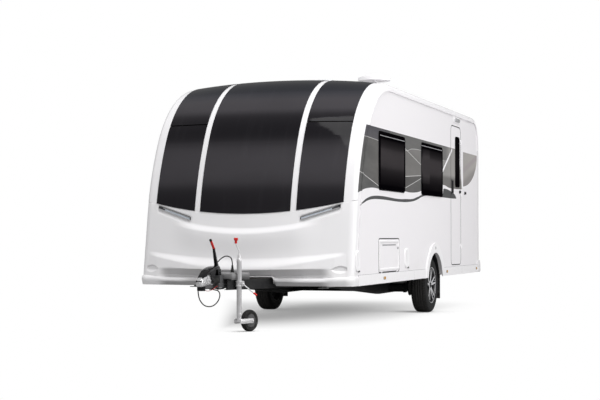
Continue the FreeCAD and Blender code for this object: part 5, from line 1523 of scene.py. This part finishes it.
# ---------------- road wheels
@dataclass
class RoadWheel:
    """One road wheel: treaded tyre, spoked rim, wheel bolts, centre cap and valve."""

    side: int
    name: str
    axle_y: float = 0.95
    radius: float = 0.327
    middle: float = 0.995
    half: float = 0.0975
    blocks: int = 64
    grooves: Pair = (0.014, 0.045)
    groove_deep: float = 0.007
    cut_deep: float = 0.005
    ribs: Table = ((0.292, 0.0022), (0.226, 0.0025))
    rib_high: float = 0.0012
    bolt_circle: float = 0.05
    tyre_section: Table = (
        (0.0, 0.327), (0.03, 0.3268), (0.052, 0.3258), (0.068, 0.3238), (0.08, 0.319), (0.0885, 0.311),
        (0.0935, 0.3), (0.0965, 0.285), (0.0975, 0.267), (0.0968, 0.248), (0.0945, 0.232), (0.09, 0.218),
        (0.085, 0.2105), (0.078, 0.2045), (0.0765, 0.197))
    rim_section: Table = (
        (0.089, 0.2085), (0.0905, 0.215), (0.0885, 0.2185), (0.084, 0.2165), (0.08, 0.205), (-0.08, 0.205),
        (-0.084, 0.2165), (-0.0885, 0.2185), (-0.0905, 0.215), (-0.089, 0.2085), (-0.08, 0.197),
        (-0.03, 0.19), (0.045, 0.187), (0.072, 0.192), (0.084, 0.2035))
    spoke_ends: tuple[Triple, Triple] = ((0.075, 0.05, 8.0), (0.0885, 0.196, 11.5))

    @property
    def body(self) -> str:
        """The CAD body that turns on the axle."""
        return f"wheel_{self.name}"

    @property
    def out(self) -> Triple:
        """The way out of the caravan along the axle."""
        return (float(self.side), 0.0, 0.0)

    def spot(self, out: np.ndarray | float, reach: np.ndarray | float = 0.0,
             turn: np.ndarray | float = 0.0) -> np.ndarray:
        """Places so far out from the wheel's middle, so far from the axle, at angles round it."""
        return xyz(self.side * (self.middle + out), self.axle_y + reach * np.cos(turn),
                   self.radius + reach * np.sin(turn))

    def tread(self) -> None:
        """The tyre: a rounded section turned about the axle.

        The radius falls by 7 mm in four grooves round it and by 5 mm in slanted cuts that repeat along the
        shoulders; two raised ribs go round each side.
        """
        right = spline_through(self.tyre_section, 64)
        section = np.vstack((right[:0:-1] * (-1.0, 1.0), right))
        angle = np.linspace(0, TWO_PI, self.blocks * 6, endpoint=False)
        x, r = section[:, :1], section[:, 1:]
        on_tread = ease((r - 0.315) / 0.006)
        groove = np.maximum.reduce([1.0 - ease((np.abs(np.abs(x) - at) - 0.0032) / 0.0016) for at in self.grooves])
        phase = angle[None, :] * self.blocks / TWO_PI + np.abs(x) * 14.0
        cut = 1.0 - ease((np.abs(phase - np.round(phase)) - 0.1) / 0.06)
        shoulder = ease((np.abs(x) - 0.049) / 0.003)
        ribs = self.rib_high * sum(np.exp(-(((r - at) / wide) ** 2)) for at, wide in self.ribs)
        deep = self.groove_deep * groove * on_tread + self.cut_deep * cut * shoulder * on_tread
        real = r - deep * (1.0 - 0.3 * groove)
        across = np.clip(x + np.sign(x) * np.where(r < 0.31, ribs, 0.0), -self.half, self.half)
        rings = self.spot(across, real, angle)
        Form().grid(rings, round_u=True, round_v=True).piece(
            f"treaded_tyre_{self.body}", TYRE, "tyre_rubber", 50.0, body=self.body, nodes=[f"tyre_{self.name}"])

    def spoked(self) -> None:
        """The alloy rim: a flanged barrel, a hub and five pairs of spokes that spread towards the rim."""
        profile = np.asarray(self.rim_section)
        angle = np.linspace(0, TWO_PI, 96, endpoint=False)
        rings = self.spot(profile[:, :1], profile[:, 1:], angle)
        form = Form().grid(rings, round_u=True, round_v=True)
        form.turned(self.spot(0.028), self.out,
                    ((0.0, 0.06), (0.03, 0.066), (0.04, 0.064), (0.0445, 0.057), (0.046, 0.036), (0.041, 0.034)), 60)
        for step in range(10):
            turn, lean = math.radians(90.0 + 72.0 * (step // 2)), 1.0 if step % 2 else -1.0
            ends = [self.spot(face, reach, turn + lean * math.radians(spread))
                    for face, reach, spread in self.spoke_ends]
            along = unit(ends[1] - ends[0])
            across = unit(np.cross(self.out, along))
            bar = rounded_ring(0.073, 0.0135, 0.006, 3)
            bar[:, 1] *= 1.0 - 0.25 * bar[:, 0] / 0.073
            form.plate(Plane((ends[0] + ends[1]) / 2, along, across, np.cross(along, across)), bar,
                       ((-0.003, -0.034), (-0.001, -0.003), (0.0, -0.0015), (0.0015, 0.0)))
        form.piece(f"spoked_rim_{self.body}", WHEEL_ALLOY, "wheel_alloy", body=self.body, nodes=[f"rim_{self.name}"])

    def fittings(self) -> None:
        """Five wheel bolts in the hub, the plain centre cap and the valve."""
        form = Form()
        bolt = ((0.0, 0.0105), (0.003, 0.0105), (0.005, 0.0082), (0.0115, 0.008), (0.013, 0.006))
        for step in range(5):
            form.turned(self.spot(0.066, self.bolt_circle, math.radians(36.0 + 72.0 * step)), self.out, bolt, 6)
        turn = math.radians(18.0)
        valve = ((0.0, 0.0055), (0.01, 0.0048), (0.012, 0.004), (0.024, 0.0038), (0.025, 0.0045), (0.034, 0.0042))
        form.turned(self.spot(0.06, 0.18, turn), (self.side, -0.55 * math.cos(turn), -0.55 * math.sin(turn)), valve, 14)
        form.piece(f"wheel_bolts_{self.body}", ZINC, "bright_steel", body=self.body)
        cap = ((0.0, 0.0335), (0.003, 0.0335), (0.006, 0.0315), (0.0085, 0.026), (0.0095, 0.016), (0.0092, 0.012),
               (0.0104, 0.0105), (0.0108, 0.004))
        Form().turned(self.spot(0.0705), self.out, cap, 40).piece(
            f"wheel_cap_{self.body}", BLACK_TRIM, "wheel_alloy", body=self.body)

    def build(self) -> None:
        """Builds the wheel's pieces."""
        self.tread()
        self.spoked()
        self.fittings()


# ---------------- sides, roof and rear
@dataclass
class SideFittings:
    """Seals, frames, service covers and small fittings of the two side walls."""

    wall: float = 1.128
    arch: Triple = (1.1335, 0.95, 0.327)
    skirt_top: float = 0.428
    door: Quad = (1.855, 2.435, 0.56, 2.33)
    locker: Quad = (-1.61, -0.78, 0.545, 0.885)
    cassette: Quad = (2.65, 3.03, 0.56, 0.95)
    markers: tuple[float, ...] = (-1.41, 1.58, 3.43)
    covers: tuple[Quad, ...] = ((-2.48, -2.32, 0.565, 0.775), (-0.54, -0.34, 0.565, 0.785))
    gap_seal: Table = (
        (-0.0008, -0.01), (-0.0008, 0.0006), (-0.004, 0.0016), (-0.0085, 0.0016), (-0.0115, 0.0004),
        (-0.0115, -0.004), (-0.0048, -0.004), (-0.0048, -0.01))
    window_seal: Table = (
        (-0.0045, 0.0), (-0.004, 0.003), (-0.001, 0.0045), (0.004, 0.0045), (0.004, 0.0))
    soft_cover: Table = (
        (0.0, -0.001), (0.0005, 0.0015), (0.003, 0.006), (0.01, 0.0088), (0.022, 0.0098), (0.03, 0.0098),
        (0.036, 0.0085))

    def on_wall(self, edges: Quad, radius: float, steps: int, height: float = 0.0,
                side: int = 1) -> tuple[Plane, np.ndarray]:
        """A rounded rectangle on one wall, at a height above it."""
        way = Facing.NEARSIDE if side > 0 else Facing.OFFSIDE
        return panel_on(way, side * (self.wall + height), edges, radius, steps)

    def seals(self) -> None:
        """Dark rubber in the gaps round the door and the hatches, and under the edge of each window."""
        form = Form()
        for side, edges, radius, height in ((1, self.door, 0.07, 0.0), (1, self.locker, 0.022, 0.0),
                                            (-1, self.cassette, 0.022, -0.0028)):
            form.band(*self.on_wall(edges, radius, 8, height, side), self.gap_seal)
        for side, edges in WINDOWS:
            form.band(*self.on_wall(edges, 0.045, 8, side=side), self.window_seal)
        form.piece("door_and_window_seals", SEAL_RUBBER, "black_trim", 50.0)

    def locker_frame(self) -> None:
        """The locker door's own face: a raised frame round a sunken middle with a finger slot, and its lock."""
        y0, y1, z0, z1 = self.locker
        frame_edges = (y0 + 0.01, y1 - 0.01, z0 + 0.01, z1 - 0.01)
        form = Form().band(*self.on_wall(frame_edges, 0.018, 6), (
            (0.0, -0.001), (0.002, 0.0045), (0.006, 0.006), (0.02, 0.006), (0.026, 0.0035), (0.029, -0.001)))
        form.piece("locker_frame", MOULDED_WHITE, "white_wall", 40.0, body="locker_door")
        slot = (y0 + 0.14, y1 - 0.14, z1 - 0.0675, z1 - 0.0545)
        dark = Form().plate(*self.on_wall(slot, 0.005, 5), ((0.0, -0.001), (0.0, 0.0012), (0.002, 0.002)))
        dark.turned((self.wall - 0.001, y1 - 0.06, z1 - 0.095), (1, 0, 0),
                    ((0.0, 0.014), (0.008, 0.014), (0.0095, 0.011), (0.0095, 0.006), (0.007, 0.005)), 24)
        dark.piece("locker_slot_and_lock", GREY_TRIM, "grey_trim", body="locker_door")

    def service_covers(self) -> None:
        """Two soft raised covers low on the nearside wall, each with a dark drain at its foot."""
        form, drains = Form(), Form()
        for edges in self.covers:
            form.plate(*self.on_wall(edges, 0.06, 10), self.soft_cover)
            _, y1, z0, _ = edges
            drains.plate(*self.on_wall((y1 - 0.075, y1 - 0.025, z0 - 0.004, z0 + 0.012), 0.006, 4),
                         ((0.0, -0.001), (0.0, 0.0085), (0.002, 0.01)))
        form.piece("service_covers", MOULDED_WHITE, "white_wall", 50.0)
        drains.piece("service_drains", BLACK_TRIM, "black_trim")

    def arch_lips(self) -> None:
        """A rolled lip round each wheel opening: a half-round bead carried round the arch above the skirts."""
        turn = np.linspace(math.radians(-12.5), math.radians(192.5), 70)
        form = Form()
        for radius, bead in ((0.3985, 0.0055), (0.497, 0.004)):
            x, y, z = self.arch
            path = xyz(x, y + radius * np.cos(turn), z + radius * np.sin(turn))
            path = path[path[:, 2] > self.skirt_top]
            form.tube(path, bead, 12)
        Form().turned((1.1395, 0.945, 0.776), (1, 0, 0), ((0.0, 0.02), (0.0012, 0.02), (0.0025, 0.016),
                                                         (0.0025, 0.008), (0.001, 0.006)), 24).piece(
            "arch_plugs", GREY_TRIM, "grey_trim")
        form.mirrored().piece("arch_lips", MOULDED_WHITE, "white_shell", 60.0)

    def skirt_lines(self) -> None:
        """A thin dark seal along the top of each skirt and short dark gaps where skirt lengths meet."""
        form = Form()
        for y0, y1 in ((-2.38, 0.44), (1.46, 3.52)):
            form.plate(*self.on_wall((y0, y1, 0.53, 0.533), 0.001, 2), ((0.0, -0.001), (0.0, 0.0055), (0.0005, 0.006)))
        for y in (-0.12, 2.48):
            form.plate(*self.on_wall((y - 0.0012, y + 0.0012, 0.43, 0.528), 0.0005, 2),
                       ((0.0, -0.001), (0.0, 0.0075), (0.0002, 0.0083)))
        form.mirrored().piece("skirt_seals", GREY_TRIM, "grey_trim")

    def lamps(self) -> None:
        """Marker lamps: a grey foot with an amber lens; and the awning light's hood over its clear lens."""
        feet, lenses = Form(), Form()
        for y in self.markers:
            feet.plate(*self.on_wall((y - 0.048, y + 0.048, 0.461, 0.495), 0.008, 4),
                       ((0.0, -0.001), (0.0, 0.008), (0.003, 0.0092)))
            lenses.plate(*self.on_wall((y - 0.016, y + 0.046, 0.463, 0.493), 0.008, 4, 0.009),
                         ((0.0, -0.002), (0.0, 0.0006), (0.003, 0.002), (0.009, 0.0026)))
        feet.mirrored().piece("marker_feet", GREY_TRIM, "grey_trim")
        lenses.mirrored().piece("marker_lenses", AMBER_LENS, "amber_lens")
        Form().plate(*self.on_wall((2.005, 2.4, 2.388, 2.462), 0.034, 8),
                     ((-0.006, -0.001), (-0.004, 0.0025), (0.003, 0.003), (0.005, 0.005))).piece(
            "awning_light_base", MOULDED_WHITE, "white_wall")
        Form().plate(*self.on_wall((2.055, 2.35, 2.396, 2.446), 0.022, 8, 0.005),
                     ((0.0, -0.002), (0.0, 0.004), (0.003, 0.0085), (0.009, 0.0115), (0.016, 0.0125))).piece(
            "awning_light_lens", SIDE_LENS, "clear_lens", 50.0, nodes=["side_lamps"])

    def door_details(self) -> None:
        """The catch that holds the open door: one half on the door, the other on the wall."""
        stud = ((0.0, 0.022), (0.004, 0.022), (0.006, 0.017), (0.016, 0.0165), (0.018, 0.019), (0.0215, 0.018),
                (0.0225, 0.01))
        for name, body, y, z in (("door_catch_pin", "door", 2.36, 1.495),
                                 ("door_catch_socket", "shell", 2.69, 1.49)):
            Form().turned((self.wall, y, z), (1, 0, 0), stud, 20).piece(name, BLACK_TRIM, "black_trim", body=body)

    def build(self) -> None:
        """Builds the side walls' fittings."""
        self.seals()
        self.locker_frame()
        self.service_covers()
        self.arch_lips()
        self.skirt_lines()
        self.lamps()
        self.door_details()


@dataclass
class RoofAndRear:
    """Rooflight domes, and the rear lamps with their bezels."""

    roof: float = 2.6
    crown: float = 0.055
    half_width: float = 1.128
    lights: tuple[Quad, ...] = (
        (-0.4, 0.4, -0.885, -0.385), (-0.2, 0.2, 0.6, 1.0), (-0.2, 0.2, 2.7, 3.1))
    cluster: Quad = (0.928, 1.053, 0.64, 1.12)
    high_lamp: Quad = (-0.2, 0.2, 2.23, 2.262)
    rear: float = 3.7415

    def domes(self) -> None:
        """Each rooflight: a low frame, and a clear dome whose outline draws in as it rises."""
        frames, domes = Form(), Form()
        for x0, x1, y0, y1 in self.lights:
            level = self.roof - self.crown * (max(abs(x0), abs(x1)) / self.half_width) ** 2
            plane, ring = panel_on(Facing.TOP, level, (x0, x1, y0, y1), 0.04, 8)
            frames.plate(plane, ring, ((0.0, -0.01), (0.0, 0.018), (0.003, 0.024), (0.01, 0.026)))
            domes.plate(plane, inset_ring(ring, 0.008), ((0.0, 0.026), (0.0, 0.034), (0.003, 0.044), (0.01, 0.054),
                                                         (0.018, 0.061), (0.027, 0.065)))
        frames.piece("rooflight_frames", MOULDED_WHITE, "white_shell", 50.0)
        domes.piece("rooflight_domes", ROOF_DOME, "roof_dome", 60.0, nodes=["rooflights"])

    def lamps(self) -> None:
        """Rear clusters in three colours inside a dark bezel, and the high lamp."""
        x0, x1, z0, z1 = self.cluster
        bezel = Form().plate(*panel_on(Facing.REAR, self.rear - 0.05, self.cluster, 0.03, 8),
                             ((0.0, -0.012), (0.0, 0.04), (0.003, 0.046), (0.008, 0.047)))
        bezel.mirrored().piece("rear_lamp_bezels", BLACK_TRIM, "black_trim", nodes=["rear_lamps"])
        for colour, finish, low, high in (("red", RED_LENS, 0.28, 0.97), ("amber", AMBER_LENS, 0.155, 0.27),
                                          ("clear", CLEAR_LENS, 0.03, 0.145)):
            edges = (x0 + 0.01, x1 - 0.01, z0 + low * (z1 - z0), z0 + high * (z1 - z0))
            form = Form().plate(*panel_on(Facing.REAR, self.rear - 0.004, edges, 0.018, 6), (
                (0.0, -0.004), (0.001, 0.001), (0.004, 0.0035), (0.012, 0.0048), (0.02, 0.005))).mirrored()
            if finish is RED_LENS:
                form.plate(*panel_on(Facing.REAR, 3.7095, self.high_lamp, 0.01, 5),
                           ((0.0, -0.04), (0.0, 0.004), (0.003, 0.008), (0.008, 0.0095)))
            form.piece(f"rear_lenses_{colour}", finish, f"{colour}_lens")

    def build(self) -> None:
        """Builds the roof's domes and the rear lamps."""
        self.domes()
        self.lamps()


# ---------------- cords
@dataclass
class Cords:
    """The towing vehicle's electric cable and the thin breakaway cable, with their ends."""

    cable_radius: float = 0.0055
    cable_length: float = 1.171
    breakaway_radius: float = 0.0025
    breakaway_length: float = 0.288
    gland_foot: float = 0.565
    gland_radius: float = 0.02
    plug_radius: float = 0.018
    plug_length: float = 0.062
    cable: tuple[Triple, ...] = (
        (0.03, -2.97, 0.636), (0.03, -2.97, 0.7), (0.0, -3.022, 0.728), (-0.028, -3.07, 0.716),
        (-0.052, -3.118, 0.682), (-0.072, -3.176, 0.636), (-0.084, -3.236, 0.59), (-0.088, -3.272, 0.536),
        (-0.086, -3.286, 0.47), (-0.066, -3.3, 0.42), (-0.018, -3.322, 0.408), (0.036, -3.346, 0.404),
        (0.066, -3.372, 0.364), (0.058, -3.408, 0.3), (0.018, -3.458, 0.254), (-0.034, -3.52, 0.262),
        (-0.064, -3.566, 0.318), (-0.07, -3.59, 0.384), (-0.07, -3.592, 0.438))
    breakaway: tuple[Triple, ...] = (
        (0.028, -3.33, 0.446), (0.028, -3.36, 0.446), (0.022, -3.408, 0.428), (0.008, -3.46, 0.408),
        (-0.006, -3.514, 0.402), (-0.016, -3.552, 0.41), (-0.02, -3.574, 0.428), (-0.02, -3.574, 0.455))

    def build(self) -> None:
        """Lays both cables and makes the gland and the plug."""
        ends = self.ends()
        cable = self.lay("electric_lead", self.cable, self.cable_radius, SOFT_RUBBER, "electric_cable")
        thin = self.lay("breakaway_lead", self.breakaway, self.breakaway_radius, RED_CABLE,
                        "breakaway_cable")

    def lay(self, name: str, route: Sequence[Sequence[float]], radius: float, finish: Finish,
            node: str) -> bpy.types.Object:
        """One cable as a smooth spline whose control points are the route's points.

        Args:
            name: the piece's name.
            route: the control points.
            radius: of the cable.
            finish: what it is made of.
            node: the CAD node that it stands for.
        Returns:
            The cable.
        """
        curve = bpy.data.curves.new(name, "CURVE")
        curve.dimensions = "3D"
        spline = curve.splines.new("NURBS")
        spline.points.add(len(route) - 1)
        spline.points.foreach_set("co", np.hstack((np.asarray(route), np.ones((len(route), 1)))).ravel())
        spline.order_u = 3
        spline.use_endpoint_u = True
        spline.resolution_u = 16
        curve.bevel_depth = radius
        curve.bevel_resolution = 4
        curve.use_fill_caps = True
        made = place_object(name, curve)
        curve.materials.append(finish.material())
        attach(made, "shell")
        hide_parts(node)
        return made

    def ends(self) -> bpy.types.Object:
        """The ribbed gland on the cover and the plug hung in its bracket."""
        x, y, top = self.cable[0]
        rise = np.linspace(0.0, 1.0, 31)
        radius = self.gland_radius * (1 - 0.56 * rise) * (1.0 - 0.13 * (0.5 - 0.5 * np.cos(rise * TWO_PI * 7.0)))
        form = Form().turned((x, y, self.gland_foot), UP, np.stack((rise * (top - self.gland_foot), radius), 1), 28)
        x, y, low = self.cable[-1]
        r, length = self.plug_radius, self.plug_length
        form.turned((x, y, low), UP, ((0.0, r * 0.45), (0.004, r * 0.62), (0.014, r * 0.72), (0.018, r * 0.98),
                                      (0.03, r), (0.034, r * 0.92), (0.037, r), (0.055, r), (0.058, r * 0.94),
                                      (length, r * 0.94)), 40)
        lug = (x + 0.0125, x + 0.0315, y - 0.011, y + 0.011)
        form.plate(*panel_on(Facing.TOP, low + 0.034, lug, 0.003, 3), slab(0.014))
        return form.piece("cable_gland_and_plug", SOFT_RUBBER, "soft_rubber", nodes=["cable_ends"])


# ---------------- studio
@dataclass
class Studio:
    """Pale floor, white surroundings, three soft lamps and the camera."""

    eye: Triple = (4.987, -15.663, 0.909)
    yaw: float = 18.573
    pitch: float = 1.51
    lens: float = 84.11
    sensor: float = 36.0
    floor_size: float = 60.0
    bounce: float = 0.3
    lift: float = 0.3
    mirrored: float = 0.3
    patch: Quad = (-1.5, 0.18, 2.32, 3.058)
    skew: float = -0.162
    fade: Pair = (0.51, 1.51)
    edge: Triple = (0.383, -1.32, -0.98)
    # Spots near the wheels where less painted white is blended, so that more of the real shadow shows.
    shadow_pools: tuple[Quad, ...] = ((1.2, 1.0, 0.75, 0.42), (0.28, -3.02, 0.34, 0.3))
    hall: Table = ((0.0, 0.1), (0.15, 0.13), (0.45, 0.24), (0.8, 0.34), (1.0, 0.34))
    sky: float = 0.75
    lamps: tuple[tuple[str, Triple, float, float], ...] = (
        ("soft_key", (4.0, -5.5, 12.0), 8.0, 950.0), ("side_fill", (13.0, -1.0, 4.5), 7.0, 800.0),
        ("front_fill", (0.5, -15.5, 3.0), 6.0, 80.0))

    def camera(self) -> None:
        """The camera, looking along its yaw and pitch."""
        data = bpy.data.cameras.new("camera")
        data.lens = self.lens
        data.sensor_width = self.sensor
        data.clip_end = 200.0
        made = place_object("camera", data)
        made.location = self.eye
        made.rotation_euler = Euler((math.radians(90.0 + self.pitch), 0.0, math.radians(self.yaw)), "XYZ")
        bpy.context.scene.camera = made

    def rays(self, graph: Graph, *kinds: str) -> Shade:
        """1 where a ray is of one of the kinds named.

        Args:
            graph: the graph that asks.
            kinds: the kinds of ray.
        Returns:
            The mask.
        """
        path = graph.node("ShaderNodeLightPath")
        share = Shade(graph, path.outputs[f"Is {kinds[0]} Ray"])
        for kind in kinds[1:]:
            share = graph.math("MAXIMUM", share, Shade(graph, path.outputs[f"Is {kind} Ray"]))
        return share

    def floor(self) -> None:
        """A wide pale floor that turns into the white background away from the caravan; its white is painted light,
        blended by a mask that lightens the real shadow and hides it beyond a slanted edge.
        """
        graph = Graph("pale_floor")
        x, y, _ = graph.axes()
        # Painted light on the floor: white emission, blended by a skewed patch, a slanted edge and a constant lift,
        # lightens the real shadow; less is blended in the shadow pools.
        cx, cy, half_x, half_y = self.patch
        across, along = (x - cx) + (y - cy) * self.skew, y - cy
        away = ((across / half_x) ** 2.0 + (along / half_y) ** 2.0) ** 0.5
        slant, bare, covered = self.edge
        share = graph.math("MAXIMUM", away.rises(*self.fade), (x + y * slant).falls(bare, covered))
        share = share * (1.0 - self.lift) + self.lift
        for px, py, reach_x, reach_y in self.shadow_pools:
            near = (((x - px) / reach_x) ** 2.0 + ((y - py) / reach_y) ** 2.0) ** 0.5
            share = share * (1.0 - near.falls(0.3, 1.0) * 0.75)
        seen = self.rays(graph, "Camera", "Transmission")
        pale = graph.mix(graph.noise(60.0, 2.0), (0.9, 0.9, 0.9), (0.93, 0.93, 0.93))
        dark = graph.mix(self.rays(graph, "Glossy"), (self.bounce,) * 3, (self.mirrored,) * 3)
        diffuse = graph.node("ShaderNodeBsdfDiffuse", sockets={0: graph.mix(seen, dark, pale)})
        white = graph.node("ShaderNodeEmission", sockets={0: WHITE, 1: 1.0})
        graph.link(graph.blend(share * seen, diffuse, white), graph.output.inputs[0])
        half = self.floor_size
        mesh = bpy.data.meshes.new("floor")
        mesh.from_pydata([(-half, -half, 0.0), (half, -half, 0.0), (half, half, 0.0), (-half, half, 0.0)], [],
                         [(0, 1, 2, 3)])
        mesh.materials.append(graph.owner)
        place_object("studio_floor", mesh)

    def surroundings(self) -> None:
        """A soft white sky, plain white where the camera looks, and a dim hall in the mirrors."""
        graph = Graph("surroundings", Owner.WORLD)
        bpy.context.scene.world = graph.owner
        way = graph.value("ShaderNodeTexCoord", output="Generated")
        height = graph.value("ShaderNodeSeparateXYZ", sockets={0: way}, output=2)
        hall = graph.ramp(height, tuple((at, grey(level)) for at, level in self.hall))
        light, mirror, white = (graph.node("ShaderNodeBackground", sockets={0: colour, 1: strength})
                                for colour, strength in ((WHITE, self.sky), (hall, 1.0), (WHITE, 1.0)))
        inner = graph.blend(self.rays(graph, "Glossy"), light, mirror)
        graph.link(graph.blend(self.rays(graph, "Camera", "Transmission"), inner, white), graph.output.inputs[0])

    def lamp(self, name: str, place: Triple, size: float, power: float) -> None:
        """A square soft lamp looking at the caravan's middle.

        Args:
            name: its name.
            place: where it stands.
            size: its edge.
            power: in watts.
        """
        data = bpy.data.lights.new(name, "AREA")
        data.size = size
        data.energy = power
        made = place_object(name, data)
        toward = np.asarray((0.0, 0.0, 1.1)) - np.asarray(place)
        flat = math.hypot(toward[0], toward[1])
        made.location = place
        made.rotation_euler = Euler((math.atan2(flat, -toward[2]), 0.0, math.atan2(-toward[0], toward[1])), "XYZ")

    def build(self) -> None:
        """Puts the studio up."""
        self.camera()
        self.floor()
        self.surroundings()
        for lamp in self.lamps:
            self.lamp(*lamp)
        settings = bpy.context.scene.view_settings
        settings.view_transform = "Standard"


# ---------------- CAD nodes
CAD_FINISHES: tuple[tuple[Finish, str], ...] = (
    (SHELL_WHITE, "front_moulding front_lower_panel roof rear_panel"), (BOARD, "floor"),
    (WALL_WHITE, "side_wall_nearside side_wall_offside awning_rails entrance_door side_locker_door cassette_hatch"),
    (MOULDED_WHITE, "bumpers side_skirts wheel_arches tv_aerial fridge_vents door_hinges"),
    (FRONT_GLASS, "front_window_centre front_side_glazing"), (SIDE_GLASS, "side_windows"),
    (DOOR_GLASS, "door_window"), (ROOF_DOME, "rooflights"), (DOOR_TRIM, "door_fittings"),
    (RED_LENS, "rear_lamps"), (SIDE_LENS, "side_lamps"), (CLEAR_LENS, "front_lamps"), (POD_LENS, "corner_pods"),
    (BLACK_TRIM, "wheel_wells mudflaps"), (COVER_GREY, "drawbar_cover"), (HUB_GREY, "overrun_housing"),
    (COATED, "chassis_rails drawbar_rails axle_tube trailing_arms coupling_handle handbrake_lever"),
    (GALVANISED, "steady_brackets steady_leg_front_nearside steady_leg_front_offside steady_leg_rear_nearside "
                 "steady_leg_rear_offside"),
    (TYRE, "tyre_nearside tyre_offside"), (WHEEL_ALLOY, "rim_nearside rim_offside"),
    (CAST, "brake_drum_nearside brake_drum_offside"), (SOFT_RUBBER, "overrun_bellows"),
    (ZINC, "coupling_head jockey_outer_tube jockey_clamp jockey_inner_tube jockey_fork"),
    (JOCKEY_RUBBER, "jockey_wheel"))


def dress_cad() -> None:
    """Gives every CAD node its finish."""
    for finish, names in CAD_FINISHES:
        for name in names.split():
            materials = frame["nodes"][name].data.materials
            materials.clear()
            materials.append(finish.material())


def main() -> None:
    """Builds everything in order."""
    logging.basicConfig(level=logging.INFO, format="%(message)s")
    Studio().build()
    Cords().build()
    dress_cad()
    FrontEnd().build()
    Coupling().build()
    Jockey().build()
    RoadWheel(1, "nearside").build()
    RoadWheel(-1, "offside").build()
    SideFittings().build()
    RoofAndRear().build()


if __name__ == "__main__":
    main()
